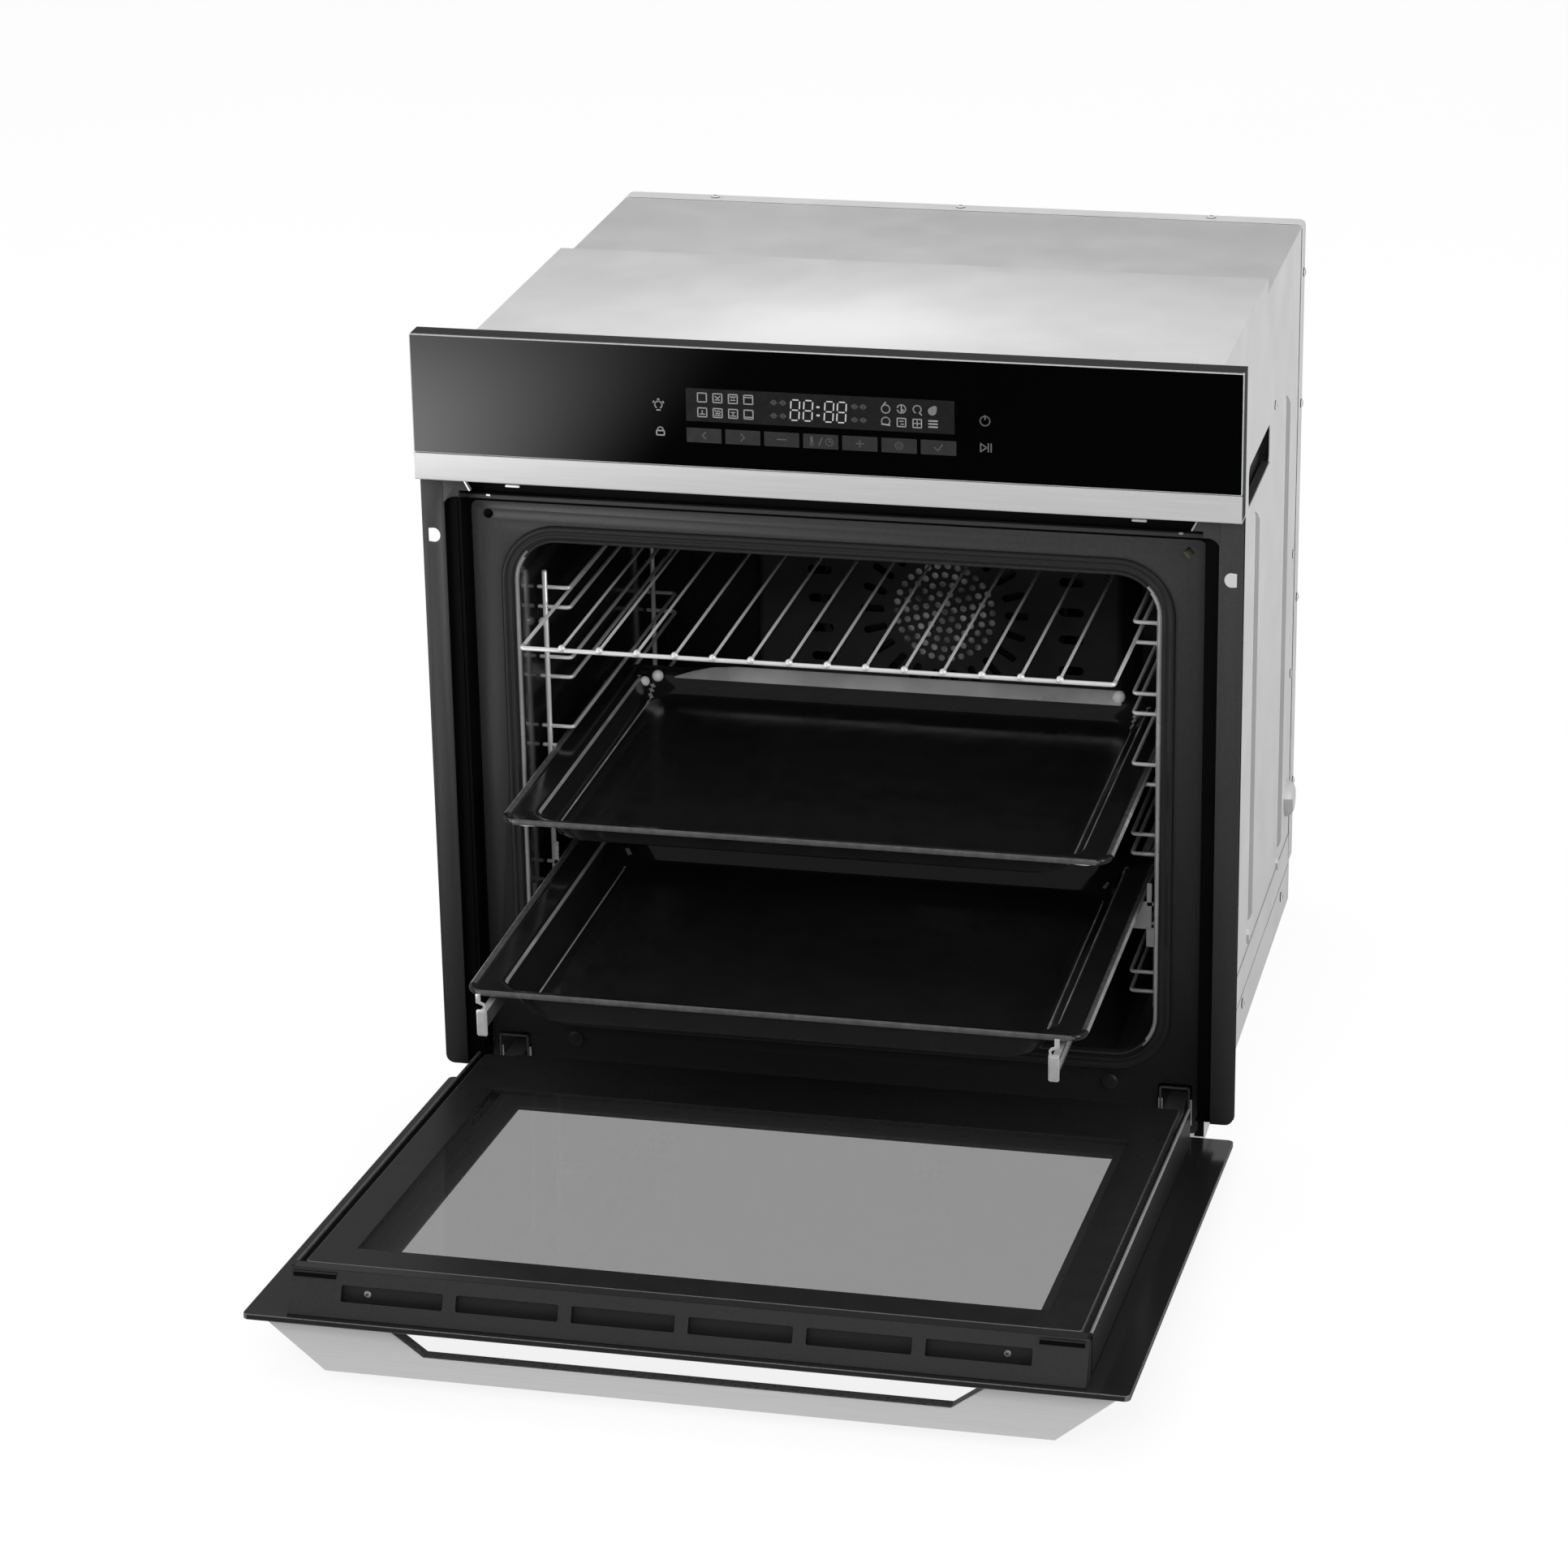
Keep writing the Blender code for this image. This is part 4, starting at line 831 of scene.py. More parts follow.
def fan_cover():
    """Dished cover: round perforations inside a ring of slots, over a bright filter disc."""
    hub = Vector((0.0045, FAN_Z + 0.003))
    lo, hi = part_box("fan_cover")
    rear, front, half = hi.y - CAB, lo.y - CAB, hi.x
    profile = ((0.0, rear, 0.028), (-0.0004, rear - 0.004, 0.028), (-0.01, front + 0.003, 0.022),
               (-0.012, front + 0.0008, 0.021), (-0.0145, front, 0.02))
    shape = bmesh.new()
    add_loft(shape, [[P(x, d, z) for x, z in rounded(half + out, lo.z - out, hi.z + out, r, 8)]
                     for out, d, r in profile])
    outward(shape)
    loops = [rounded(half - 0.0144, lo.z + 0.0144, hi.z - 0.0144, 0.02, 8)]
    for reach, count in ((0.0, 1), (0.0078, 6), (0.0156, 12), (0.0234, 18), (0.0312, 24), (0.0389, 30)):
        for i in range(count):
            a = 2 * math.pi * (i + 0.3 * reach / 0.01) / count
            loops.append(circle(hub.x + reach * math.cos(a), hub.y + reach * math.sin(a), 0.0028, 12))
    loops += [radial_slot(hub, a) for a in around(22)]
    for u, v in ((-0.097, 0.033), (-0.096, 0.009), (-0.096, -0.016), (-0.094, -0.04),
                 (0.107, 0.034), (0.107, 0.009), (0.107, -0.014), (0.107, -0.04)):
        loops.append(rounded(0.01, FAN_Z + v - 0.0036, FAN_Z + v + 0.0036, 0.0034, 4, u))
    merge(shape, front_plate(loops, 0.001, front))
    for u, v in ((-0.135, 0.117), (0.135, 0.117), (-0.135, -0.117), (0.135, -0.117)):
        add_screw(shape, P(u, front - 0.0001, FAN_Z + v), (0, -1, 0), 0.004, 0.0014, 1, 0)
    keep("fan_grille", shape, "fan_enamel bright", "fan_cover")
    keep("filter_disc", front_plate([circle(*hub, 0.044, 48)], 0.0006, front + 0.0023), "filter")


def side_rack(side, sign):
    """Bright wire ladder: two posts and, for each level, a pair of runs with turned-in ends."""
    post, inner, wall, top, pitch = sign * 0.2285, sign * 0.21, sign * 0.2335, 0.371, 0.0545
    shape = bmesh.new()
    for d in (0.065, 0.375):
        add_wire(shape, [P(post, d, top - 5 * pitch - 0.012), P(post, d, top + 0.0273)], 0.002, 12)
    for level in range(6):
        for lift in (0.0, 0.0153):
            z = top - pitch * level + lift
            run = [P(wall, 0.065, z), P(inner, 0.065, z), P(inner, 0.375, z), P(wall, 0.375, z)]
            add_wire(shape, run, 0.0015, 10, 0.0035)
    for d in (0.065, 0.375):
        for level in (0, 4):
            add_ball(shape, P(sign * 0.231, d, top - pitch * level - 0.012), 0.0034)
    keep("rack_" + side, shape, "chrome", "side_rack_" + side, smooth=60)


def grill():
    """Top heating element with soft bends."""
    lo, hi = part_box("grill_element")
    z, half, passes = (lo.z + hi.z) / 2, 0.15, 6
    points = [P(-0.03, 0.455, z), P(-0.03, 0.385, z), P(-half, 0.385, z)]
    for i in range(passes):
        x = -half + 2 * half * i / (passes - 1)
        ends = [P(x, 0.36, z), P(x, 0.09, z)]
        if i % 2:
            ends.reverse()
        points += ends[1:] if i == 0 else (ends[:1] if i == passes - 1 else ends)
    points += [P(half, 0.385, z), P(0.03, 0.385, z), P(0.03, 0.455, z)]
    shape = bmesh.new()
    add_wire(shape, points, 0.0032, 12, 0.018)
    keep("grill_tube", shape, "element", "grill_element", smooth=60)


# ------------------------ rack and trays

def wire_rack():
    """Chromed grid: a stout front bar, thinner sides and rear, and 14 runs welded on top."""
    lo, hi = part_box("wire_rack")
    front, rear, z = lo.y - CAB + 0.0027, hi.y - CAB - 0.0027, lo.z + 0.0027
    left, right = -hi.x + 0.0018, hi.x - 0.0066
    shape = bmesh.new()
    bar = [P(left, front + 0.006, z), P(left, front, z), P(right, front, z), P(right, front + 0.006, z)]
    add_wire(shape, bar, 0.0017, 12)
    sides = [P(left, front + 0.004, z), P(left, rear, z), P(right, rear, z), P(right, front + 0.004, z)]
    add_wire(shape, sides, 0.0014, 10, 0.01)
    for i in range(14):
        x = 0.0278 * (i - 6.5) - 0.0062
        add_wire(shape, [P(x, front - 0.0002, z + 0.0019), P(x, rear, z + 0.0019)], 0.0011)
        add_ball(shape, P(x, front - 0.0008, z + 0.0018), 0.0028)
    keep("grid_rack", shape, "chrome", "wire_rack", "wire_rack", 60)


def pressed_tray(name, node, body, rim_z, depth, floor_half):
    """A tray from its curled edge to its floor; a section point gives inset, radius and height."""
    lo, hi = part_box(node)
    front, rear, half, wall = lo.y - CAB, hi.y - CAB, 0.221, 0.025
    slope = half - 0.026 - floor_half
    section = [
        (0.003, 0.011, -0.0036), (0.001, 0.013, -0.004), (0.0, 0.014, -0.0024),
        (0.0004, 0.0136, -0.001), (0.0016, 0.0126, -0.0001), (0.0034, 0.012, 0.0),
        (0.0052, 0.0115, -0.001), (0.007, 0.012, -0.0014), (0.02, 0.018, -0.0016),
        (0.0226, 0.019, -0.0022), (0.0242, 0.02, -0.0042),
    ]
    for t in (0.25, 0.5, 0.75):
        section.append((wall + slope * t * 0.86, 0.0205 + 0.004 * t, -0.006 - (depth - 0.0092) * t))
    section += [
        (wall + slope * 0.9, 0.025, 0.0022 - depth), (wall + slope * 0.98 - 0.0005, 0.025, 0.0014 - depth),
        (wall + slope * 0.98 + 0.0005, 0.025, 0.001 - depth), (wall + slope * 1.3, 0.024, 0.0001 - depth),
        (wall + slope + 0.01, 0.022, -depth),
    ]
    shape = bmesh.new()
    add_loft(shape, [[P(x, d, rim_z + height) for x, d in
                      rounded(half - inset, front + inset * 0.42, rear - inset * 0.48, radius, 10)]
                     for inset, radius, height in section], cap_last=True)
    outward(shape)
    # narrow bands on the side rims, the step and the floor bend take a pale grey, and the front rim and outer
    # side edges a darker grey: painted highlights on the enamel
    bend = wall + slope * 0.98
    for face in shape.faces:
        spot = face.calc_center_median()
        inset = half - abs(spot.x)
        on_side = lo.y + 0.024 < spot.y < hi.y - 0.02
        line = 0.0002 < inset < 0.0011 or 0.0226 < inset < 0.024 or abs(inset - bend) < 0.0006
        if on_side and line:
            face.material_index = 1
        elif spot.y < lo.y + 0.0012 or (on_side and inset < 0.006):
            face.material_index = 2
    add_sheet(keep(name, shape, "enamel worn_edge rim", node, body, 60), 0.0008, -1.0)


def trays():
    """Both trays, with the shallow tray's rear rail, front curls and corner beads: pale pieces that are
    painted highlights on its enamel.
    """
    pressed_tray("baking_tray", "shallow_tray", "shallow_tray", 0.2678, 0.018, 0.186)
    pressed_tray("roasting_tray", "deep_tray", "deep_tray_set", 0.1775, 0.026, 0.182)
    lo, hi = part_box("shallow_tray")
    front, rear = lo.y - CAB, hi.y - CAB
    shape = bmesh.new()
    # a pale grey rail along the rear rim, its left end tapered to fade: painted highlight of the rim
    d0, z0 = rear - 0.014, 0.2634
    rail = ((0.0, 0.0), (0.009, 0.008), (0.011, 0.008), (0.011, 0.0006))
    stations = ((-0.172, 0.1), (-0.16, 0.5), (-0.145, 0.85), (-0.125, 1.0), (0.176, 1.0))
    rings = [[P(x, d0 + u * gain, z0 + v * gain) for u, v in rail] for x, gain in stations]
    add_loft(shape, rings, True, True)
    # near-white curls at the front corners: painted highlights
    for sign in (-1, 1):
        curl = [P(sign * 0.195, front + 0.003, 0.264), P(sign * 0.204, front + 0.0036, 0.2632),
                P(sign * 0.212, front + 0.007, 0.2642), P(sign * 0.2165, front + 0.013, 0.265)]
        add_wire(shape, curl, 0.0014, 8, 0.003, 1)
    # near-white beads in the rear corners: painted highlights of the enamel's corners
    for x, back, z, radius in ((-0.1936, 0.0228, 0.2622, 0.004), (-0.1855, 0.0138, 0.264, 0.0046),
                               (0.1735, 0.008, 0.268, 0.0052)):
        add_ball(shape, P(x, rear - back, z), radius, 1)
    outward(shape)
    keep("tray_rear_rail", shape, "rail glint", body="shallow_tray", smooth=60)


def runners(side, sign):
    """Moving bar of the runner: a rolled channel with its ball track, and the folded front clip."""
    lo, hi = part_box("runner_slide_" + side)
    front, rear = lo.y - CAB, hi.y - CAB
    shape = bmesh.new()
    section = ((0.2005, 0.1566), (0.2055, 0.1566), (0.2055, 0.159), (0.2022, 0.1598), (0.2022, 0.1652),
               (0.2055, 0.166), (0.2055, 0.1684), (0.2005, 0.1684), (0.2003, 0.1625))
    add_bar(shape, "d", [(sign * x, z) for x, z in section], (front + 0.0012, rear))
    outward(shape)
    paint(shape, lambda spot, n: abs(n.z) < 0.5 and abs(n.y) < 0.5)
    plate = ((0.1987, 0.1532), (0.1997, 0.1522), (0.2053, 0.1522), (0.2063, 0.1532), (0.2063, 0.1712),
             (0.2053, 0.1722), (0.201, 0.1722), (0.2006, 0.1738), (0.2014, 0.1752), (0.204, 0.1763),
             (0.2064, 0.1772), (0.2064, 0.184), (0.203, 0.184), (0.203, 0.1782), (0.2004, 0.1772),
             (0.199, 0.1752), (0.1992, 0.173), (0.1987, 0.1712))
    merge(shape, front_plate([[(sign * u, z) for u, z in plate]], 0.0014, front + 0.0001, EASE))
    side_boxes(shape, sign, (0.2, 0.205, front - 0.0006, front + 0.0004, 0.154, 0.1705, EASE))
    keep("slide_bar_" + side, shape, "bright dark_steel", "runner_slide_" + side, "deep_tray_set")


def rail_hook(side, sign):
    """Bright bracket that hangs the fixed runner rail on the side rack's front post."""
    shape = bmesh.new()
    side_boxes(shape, sign, (0.208, 0.2262, 0.056, 0.0572, 0.152, 0.1735, EASE),
               (0.2226, 0.2262, 0.056, 0.0572, 0.17, 0.188, EASE),
               (0.208, 0.2092, 0.056, 0.08, 0.154, 0.171, EASE),
               (0.2226, 0.2305, 0.056, 0.0572, 0.138, 0.153, EASE))
    keep("rail_hook_" + side, shape, "bright")


# ------------------------ door, built shut and turned open

def window_hole(half, low, high, smaller=0.0):
    """A window's outline, drawn in by smaller on every side."""
    middle = 0.2345
    return [(u - math.copysign(smaller, u), v - math.copysign(smaller, v - middle))
            for u, v in rounded(half, low, high, 0.0004, 2)]


def door_glass():
    """The outer glass with its ground edges, and the clear window in its print."""
    hole = (0.233, 0.054, 0.396)
    outline = rounded(FRONT_HALF, 0.01, 0.489, 0.0045, 6)
    shape = front_plate([outline, window_hole(*hole)], GLASS, PANEL_D, 0.0005)
    # the eased edges outside the window take a dark grey, lighter than the glass: painted highlight
    paint(shape, lambda spot, n: eased(n) and not (abs(spot.x) < 0.25 and 0.06 < spot.z < 0.42))
    keep("door_front_glass", shape, "glass_door dull_edge", "door_outer_glass", "door", 20)
    pane = front_plate([window_hole(*hole, EASE)], 0.0036, PANEL_D + 0.0002)
    keep("door_front_window", pane, "window", body="door")


def middle_pane():
    """The printed pane: a black border and a clear window."""
    hole = (0.2212, 0.0875, 0.3835)
    outline = rounded(0.236, 0.045, 0.452, 0.003, 3)
    shape = front_plate([outline, window_hole(*hole)], 0.003, -0.009, 0.0002)
    keep("pane_border", shape, "print_deep", "door_middle_glass", "door")
    pane = front_plate([window_hole(*hole, EASE)], 0.0026, -0.0088)
    keep("pane_window", pane, "pane", body="door")


def inner_pane():
    """The pane on the oven's side, and the black carrier seen through it around the window."""
    loops = [rounded(0.2612, 0.0365, 0.4612, 0.003, 4), rounded(0.2345, 0.108, 0.4315, 0.001, 2)]
    shape = front_plate(loops, GLASS, 0.01, 0.0005)
    # the edges take a dark grey, lighter than the print: painted highlight
    paint(shape, lambda spot, n: abs(n.y) < 0.97 and (abs(spot.x) > 0.258 or not 0.04 < spot.z < 0.458))
    keep("inner_pane_border", shape, "print dull_edge", "door_inner_glass", "door", 20)
    pane = front_plate([rounded(0.2342, 0.1083, 0.4312, 0.001, 2)], 0.0036, 0.0102)
    keep("inner_pane_window", pane, "pane", body="door")
    loops = [rounded(0.263, 0.0375, 0.464, 0.003, 3), rounded(0.235, 0.046, 0.451, 0.003, 3)]
    keep("door_carrier", front_plate(loops, 0.0008, -0.0059), "print_deep", body="door")


def door_side(side, sign):
    """Pressed side channel with its lip painted pale as a highlight, brighter on the right."""
    inner, outer, near, far, step = 0.263, DOOR_HALF, DOOR_NEAR, DOOR_FAR, 0.0094
    section = [(inner, near), (outer - 0.001, near), (outer, near + 0.001), (outer, far - 0.0008),
               (outer - 0.0008, far), (0.2667, far), (0.266, far - 0.0008), (0.266, step), (inner, step)]
    shape = bmesh.new()
    add_bar(shape, "z", [(sign * x, d) for x, d in section], (0.0325, 0.465))
    outward(shape)
    paint(shape, lambda spot, n: spot.y > CAB + far - 0.0007)
    # the lip takes a pale grey on the right and a dimmer grey on the left: painted highlight
    mats = "door_black " + ("edge_light" if sign > 0 else "rim")
    keep("door_channel_" + side, shape, mats, "door_side_" + side, "door")


def door_cap():
    """Slotted cap along the door's top edge, with a bevelled frame round each slot and two screws."""
    near, far, half, low, floor = DOOR_NEAR, DOOR_FAR, DOOR_HALF, 0.4618, 0.472
    run = Vector((0.0, near - far, CAP_HIGH - CAP_LOW))
    length, slope, across = run.length, run.normalized(), Vector((-1.0, 0.0, 0.0))
    normal = across.cross(slope)
    shape, well = bmesh.new(), bmesh.new()
    pitch, width, tall, middle = 0.0788, 0.07, 0.0112, length * 0.47
    loops = [rounded(half, 0.0, length, 0.0012, 3)]
    for i in range(6):
        loops.append(rounded(width / 2, middle - tall / 2, middle + tall / 2, 0.0012, 3, pitch * (i - 2.5)))
    on_slope = Matrix((-across, slope, normal)).transposed().to_4x4()
    on_slope.translation = P(0.0, far, CAP_LOW) - normal * 0.0011
    merge(shape, flat_plate(loops, 0.0022, on_slope, 0.0004))
    add_box(shape, (-half, half), (far - 0.0024, far), (low, CAP_LOW - 0.0006), EASE)
    edge = [(near, low), (far, low), (far, CAP_LOW - 0.001), (near, CAP_HIGH - 0.001)]
    for sign in (-1, 1):
        add_bar(shape, "x", edge, (sign * half, sign * (half - 0.0022)))
    outward(shape)
    # the bevelled frames round the slots take a lighter grey: painted highlight
    paint(shape, lambda spot, n: 0.2 < abs(n.dot(normal)) < 0.9 and abs(spot.x) < 0.24 and spot.z > 0.4724)
    keep("door_cap", shape, "cap rim", "door_top_trim", "door", 15)
    add_box(well, (-half + 0.003, half - 0.003), (near + 0.002, far - 0.003), (0.4675, floor))
    for x in (-pitch * 2.5 - 0.018, pitch * 2.5 + 0.018):
        add_screw(well, P(x, -0.001, floor), (0, 0, 1), 0.0026, 0.0014, 1, 0)
    keep("cap_floor", well, "plastic filter", body="door")


def door_clip(side, sign):
    """Release clip with a raised thumb rib."""
    shape = bmesh.new()
    side_boxes(shape, sign, (0.24, 0.2665, 0.01, 0.0135, 0.4655, 0.4722, 0.0006))
    # the wider, flatter band takes the near-black recess material: painted shadow, as of a slot just below
    # the edge
    for low, high, depth, index in ((0.05, 0.19, 0.0002, 1), (0.06, 0.1, 0.0005, 0)):
        ends = [(DOOR_FAR + (DOOR_NEAR - DOOR_FAR) * t, CAP_LOW + (CAP_HIGH - CAP_LOW) * t)
                for t in (low, high)]
        quad = ends + [(d + depth, z + depth * 2.5) for d, z in reversed(ends)]
        add_bar(shape, "x", quad, span(sign, 0.236, 0.2655), index)
    outward(shape)
    keep("release_clip_" + side, shape, "plastic recess", "door_clip_" + side, "door")


def door_handle():
    """Silver plate with eased edges and the tapered finger slot."""
    near, far = PANEL_D - 0.0003, -0.0595
    outline = [(-0.2905, near), (-0.2905, near - 0.004), (-0.2465, far), (0.2465, far),
               (0.2905, near - 0.004), (0.2905, near)]
    slot = [(-0.204, near - 0.004), (-0.178, -0.043), (0.178, -0.043), (0.204, near - 0.004)]
    shape = flat_plate([outline, slot], 0.012, Matrix.Translation(P(0.0, 0.0, 0.465)), 0.0012)
    # the finger slot's walls take a dark grey, darker than the steel: painted shade in the slot
    paint(shape, lambda spot, n: abs(n.z) < 0.4 and abs(spot.x) < 0.2045
          and CAB - 0.044 < spot.y < CAB + near - 0.003)
    keep("handle_plate", shape, "steel dull_edge", "door_handle", "door", 20)


def hinge_receiver(side, sign):
    """Dark bracket behind each hinge slot."""
    middle = sign * 0.251
    shape = bmesh.new()
    for u in (-0.0112, 0.01):
        add_box(shape, (middle + u, middle + u + 0.0012), (0.015, 0.0178), (0.015, 0.045), EASE)
    add_box(shape, (middle - 0.0112, middle + 0.0112), (0.016, 0.0178), (0.0438, 0.045), EASE)
    keep("hinge_receiver_" + side, shape, "dark_steel")


# ------------------------ housing

def add_rib(shape, x, sign, d, low, high, half=0.0042, height=0.0034):
    """A pressed rib with tapered ends, standing out of a side panel, its front slope in shade."""
    section = ((-1.0, 0.0), (-0.72, 0.16), (-0.42, 0.68), (-0.15, 0.97), (0.15, 0.97), (0.42, 0.68),
               (0.72, 0.16), (1.0, 0.0))
    stations = ((low, 0.05), (low + 0.002, 0.6), (low + 0.006, 1.0), (high - 0.006, 1.0),
                (high - 0.002, 0.6), (high, 0.05))
    rings = [[P(x + sign * height * h * gain, d + half * u * (0.4 + 0.6 * gain), z) for u, h in section]
             for z, gain in stations]
    for k, face in enumerate(add_loft(shape, rings, closed=False)):
        if 0 < k % (len(section) - 1) < 4:
            face.material_index = 3


def add_dimple(shape, x, sign, d, z, half_d, half_z, height):
    """A pressed dome on a side panel, its lower front in shade."""
    rings = [[P(x + sign * height * h, d + half_d * r * math.cos(a), z + half_z * r * math.sin(a))
              for a in around(20)]
             for r, h in ((1.0, 0.0), (0.95, 0.4), (0.82, 0.74), (0.6, 0.93), (0.3, 1.0), (0.05, 1.0))]
    for face in add_loft(shape, rings, cap_last=True)[:60]:
        spot = face.calc_center_median()
        if spot.z < z + 0.3 * half_z and spot.y < CAB + d + 0.5 * half_d:
            face.material_index = 3


def side_panel(side, sign):
    """Sheet with its hand hold, ribs, dimples, seam and screws."""
    lo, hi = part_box("side_panel_" + side)
    low, top, rear, step, rear_top = lo.z, hi.z, hi.y - CAB + 0.002, 0.292, 0.5699
    outline = [(0.0005, low), (rear, low), (rear, rear_top), (step, rear_top), (step, top), (0.0005, top)]
    hold = rounded(0.059, 0.43, 0.461, 0.007, 5, 0.264)
    turn = Matrix(((0, 0, 1, sign * 0.2715), (1, 0, 0, CAB), (0, 1, 0, 0), (0, 0, 0, 1)))
    shape = flat_plate([outline, hold], 0.001, turn, 0.0002)
    skin = sign * 0.27202
    add_rib(shape, skin, sign, 0.245, 0.085, 0.415)
    add_rib(shape, skin, sign, 0.415, 0.078, 0.455)
    add_dimple(shape, skin, sign, 0.245, 0.072, 0.004, 0.007, 0.0018)
    add_dimple(shape, skin, sign, 0.415, 0.064, 0.004, 0.006, 0.0018)
    add_dimple(shape, skin, sign, 0.47, 0.0993, 0.0155, 0.015, 0.0072)
    # each screw's foot ring and cross take the dark element grey: painted shadow
    for d, z in ((0.349, 0.467), (0.478, 0.305), (0.478, 0.204)):
        add_screw(shape, P(skin, d, z), (sign, 0, 0))
    # the strip at the hand hold's foot takes the dark element grey: painted shade in the opening
    side_boxes(shape, sign, (0.2716, 0.2726, 0.001, 0.487, low, 0.0608, EASE),
               (0.2716, 0.2722, 0.001, 0.487, 0.061, 0.0617, 0.0, 2),
               (0.2716, 0.2728, 0.001, 0.487, low, low + 0.0007, 0.0, 2),
               (0.266, 0.2722, 0.206, 0.322, 0.43, 0.431, 0.0002, 1))
    outward(shape)
    keep("housing_side_" + side, shape, "galvanised element seam rib_shade",
         "side_panel_" + side, smooth=20)


def deck():
    """Top cover: the front deck, the step and the lower rear deck."""
    shape = bmesh.new()
    z0, z1 = 0.5808, 0.5709
    section = [(0.0005, z0), (0.292, z0), (0.2936, z0 - 0.0006), (0.2944, z0 - 0.002),
               (0.2952, z1 + 0.0016), (0.2962, z1 + 0.0004), (0.2978, z1), (0.4895, z1)]
    add_loft(shape, sweep("x", section, (-0.272, 0.272)), closed=False)
    # the rear deck takes the darker copy of the galvanised sheet: painted shade
    paint(shape, lambda spot, n: spot.y > CAB + 0.294)
    outward(shape)
    add_sheet(keep("top_deck", shape, "galvanised galvanised_rear", "top_cover", smooth=40),
              0.001, 0.0)


def housing_screws():
    """Screws along the base, and through the rear cover's turned edge at its sides and top."""
    lo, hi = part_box("rear_cover")
    middle = (lo.y + hi.y) / 2 - CAB
    base, rear = bmesh.new(), bmesh.new()
    for sign in (-1, 1):
        for d, z in ((0.222, 0.025), (0.447, 0.022)):
            add_screw(base, P(sign * 0.2721, d, z), (sign, 0, 0), 0.004, 0.0016)
        for z in (0.105, 0.263, 0.425, 0.532):
            add_screw(rear, P(sign * hi.x, middle, z), (sign, 0, 0), 0.0036, 0.0016)
    for x in (-0.2, 0.0, 0.2):
        add_screw(rear, P(x, middle, hi.z), (0, 0, 1))
    # each head's foot ring and cross take the dark element grey: painted shadow
    keep("base_screws", base, "galvanised element")
    keep("rear_screws", rear, "galvanised element")


# ------------------------ stage, light and camera

def stage():
    """The white floor."""
    bpy.ops.mesh.primitive_plane_add(size=40.0, location=(0.0, 0.0, -0.0004))
    floor = bpy.context.object
    floor.name = "studio_floor"
    floor.data.materials.append(MAT["floor"])
    floor.visible_glossy = False


def area_light(name, place, aim, size, energy):
    """A soft box at place, turned to aim."""
    lamp = bpy.data.lights.new(name, "AREA")
    lamp.shape = "RECTANGLE"
    lamp.size, lamp.size_y = size
    lamp.energy = energy
    obj = bpy.data.objects.new(name, lamp)
    obj.location = place
    obj.rotation_euler = (Vector(aim) - Vector(place)).to_track_quat("-Z", "Y").to_euler()
    bpy.context.scene.collection.objects.link(obj)
    return obj


def lights():
    """Four soft boxes, and a plain world that is white to the camera and dimmer in reflections."""
    area_light("top_softbox", (-0.6, 0.6, 3.0), (0.0, 0.0, 0.3), (2.6, 2.0), 15)
    area_light("left_softbox", (-2.6, -0.8, 1.8), (0.0, -0.2, 0.3), (1.6, 1.8), 14)
    area_light("right_fill", (2.7, -1.5, 1.5), (0.2, 0.0, 0.35), (1.0, 1.4), 24)
    key = area_light("front_key", (0.0, -3.2, 2.0), (0.0, -0.1, 0.25), (1.8, 0.9), 30)
    key.visible_glossy = False
    world = bpy.context.scene.world or bpy.data.worlds.new("studio")
    bpy.context.scene.world = world
    tree = Tree(world)
    rays = tree.add("LightPath")
    soft = tree.remap(rays.outputs["Is Glossy Ray"], 0.68, 0.24, 0.0, 1.0)
    clean = tree.add("MixRGB", Color2=WHITE)
    back = set_inputs(tree.nodes["Background"], Strength=1.0)
    tree.link(rays.outputs["Is Camera Ray"], clean, "Fac")
    tree.link(soft, clean, "Color1")
    tree.link(clean.outputs["Color"], back, "Color")


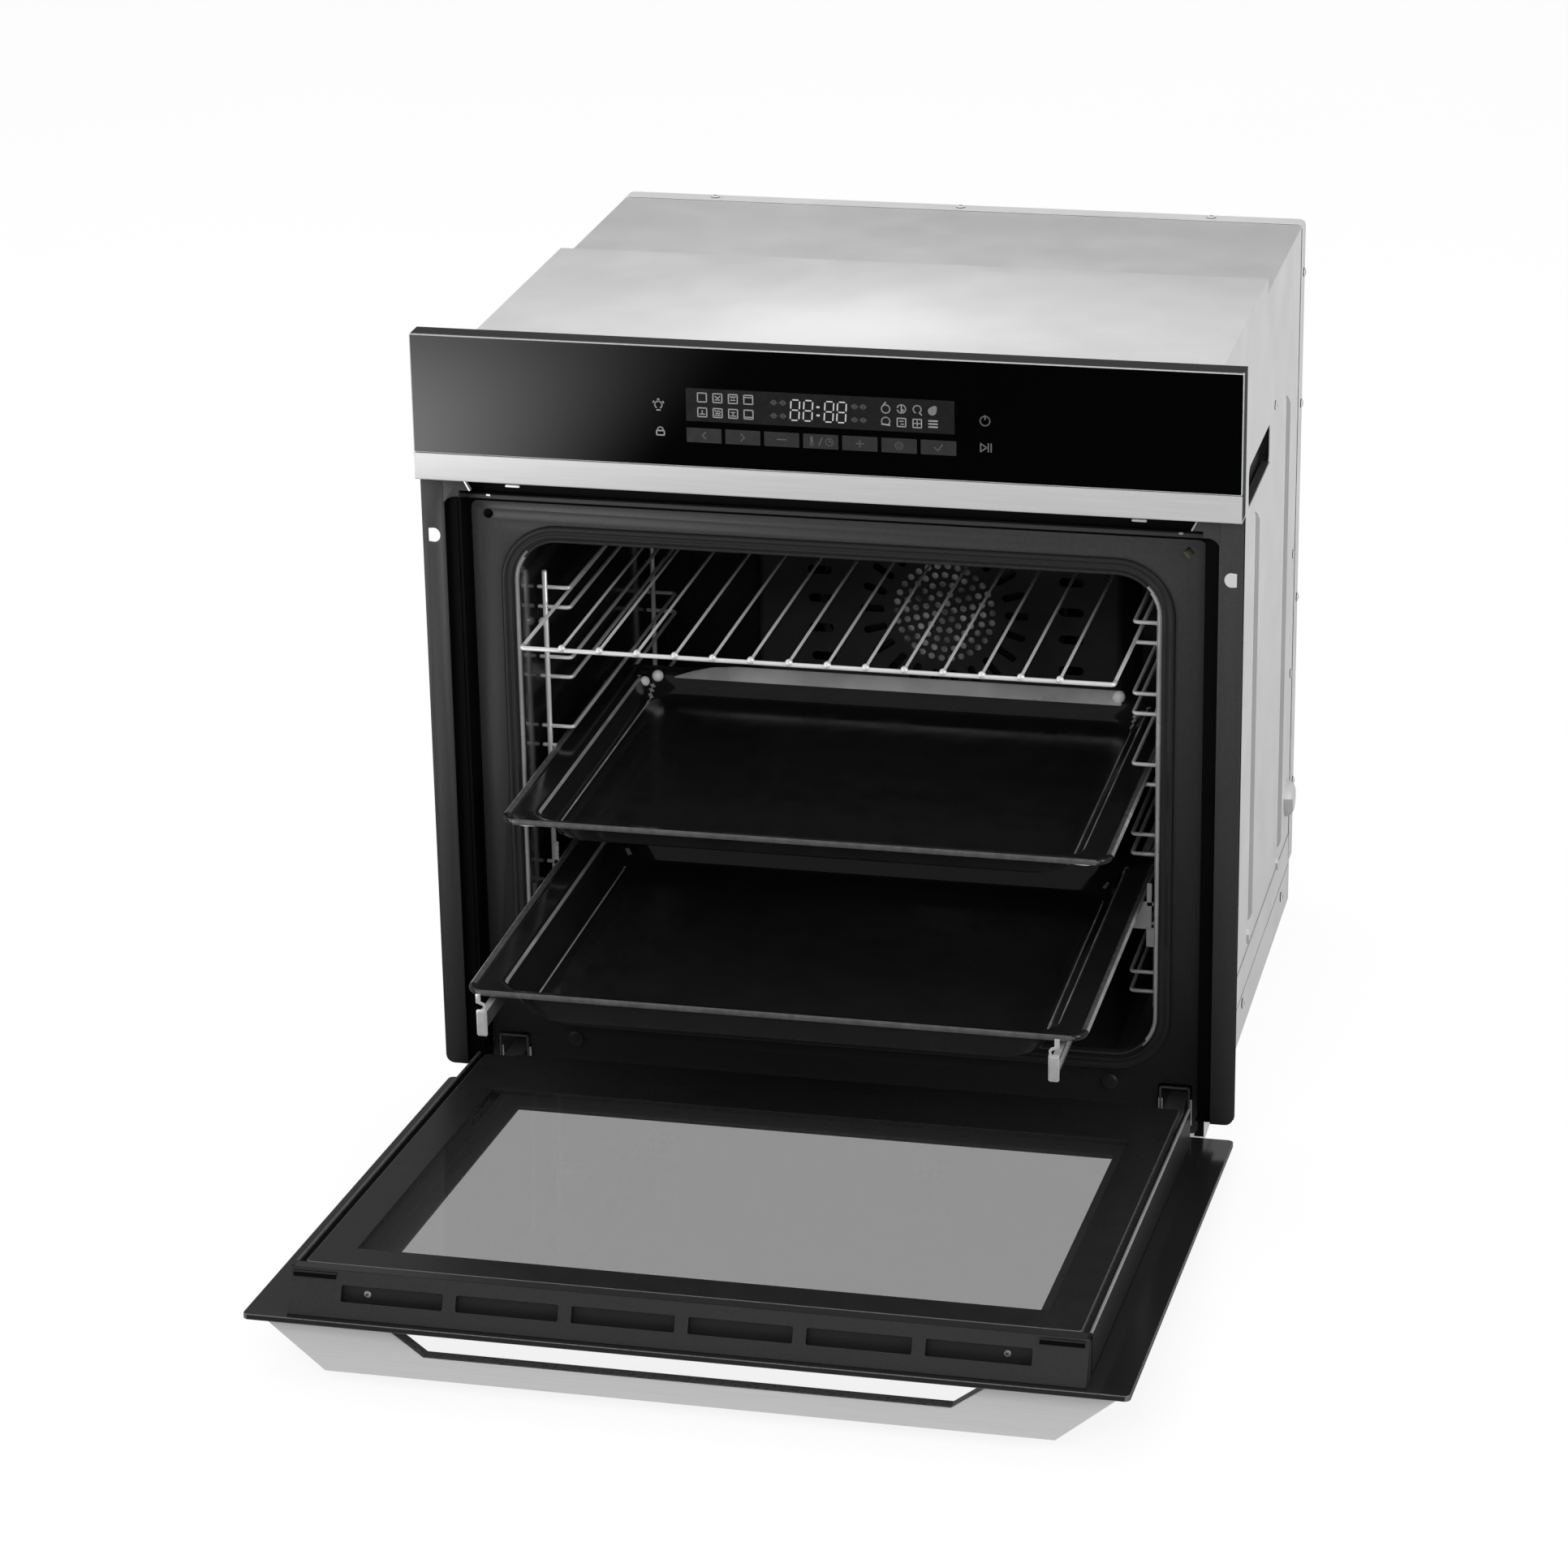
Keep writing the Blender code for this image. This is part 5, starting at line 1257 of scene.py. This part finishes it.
def reflector():
    """A glowing card on the floor at the front left, seen only in the control panel's gloss."""
    shape = bmesh.new()
    columns = [-2.6 + 5.2 * i / 12 for i in range(13)]
    add_loft(shape, [[(x, y, 0.002) for x in columns] for y in (-3.4, -1.15)], closed=False)
    mesh = bpy.data.meshes.new("reflector_card")
    shape.to_mesh(mesh)
    shape.free()
    card = bpy.data.objects.new("reflector_card", mesh)
    bpy.context.scene.collection.objects.link(card)
    skin = bpy.data.materials.new("reflector_glow")
    tree = Tree(skin)
    across = tree.along("X", -0.53, -1.02, 0.0, 2.6)
    across.node.interpolation_type = "SMOOTHSTEP"
    both = tree.add("Math")
    both.operation = "MULTIPLY"
    tree.link(across, both, 0)
    tree.link(tree.along("Y", -2.27, -1.8, 0.9, 2.9), both, 1)
    glow = tree.add("Emission")
    tree.link(both.outputs["Value"], glow, "Strength")
    tree.link(glow.outputs["Emission"], tree.nodes["Material Output"], "Surface")
    mesh.materials.append(skin)
    card.visible_camera = card.visible_diffuse = card.visible_shadow = False
    card.visible_transmission = False


def camera():
    """The camera, above the front right of the open oven, and plain colours."""
    az, el, roll = math.radians(13.298), math.radians(21.175), math.radians(-1.0036)
    back = Vector((math.sin(az) * math.cos(el), -math.cos(az) * math.cos(el), math.sin(el)))
    level = (-back).cross(Vector((0.0, 0.0, 1.0))).normalized()
    up = level.cross(-back)
    right_turned = level * math.cos(roll) + up * math.sin(roll)
    up_turned = up * math.cos(roll) - level * math.sin(roll)
    cam = bpy.data.cameras.new("camera")
    cam.sensor_width = 36.0
    cam.lens = 112.25
    cam.clip_end = 60.0
    obj = bpy.data.objects.new("camera", cam)
    turn = Matrix((right_turned, up_turned, back)).transposed().to_4x4()
    obj.matrix_world = Matrix.Translation((0.72476, -3.46678, 1.54824)) @ turn
    bpy.context.scene.collection.objects.link(obj)
    bpy.context.scene.camera = obj
    bpy.context.scene.view_settings.view_transform = "Standard"
    bpy.context.scene.view_settings.look = "None"


finish_cad_nodes()
for build in (camera, stage, reflector, lights, control_glass, panel_face, panel_symbols, panel_trim,
              carrier_back, front_lintel, chassis_front, door_seal, recess_liner, fan_cover, grill, wire_rack,
              trays, door_glass, middle_pane, inner_pane, door_cap, door_handle, deck, housing_screws):
    build()
for build_pair in (side_flange, door_bumper, side_rack, runners, rail_hook, door_side, door_clip,
                   hinge_receiver, side_panel):
    build_pair("left", -1)
    build_pair("right", 1)
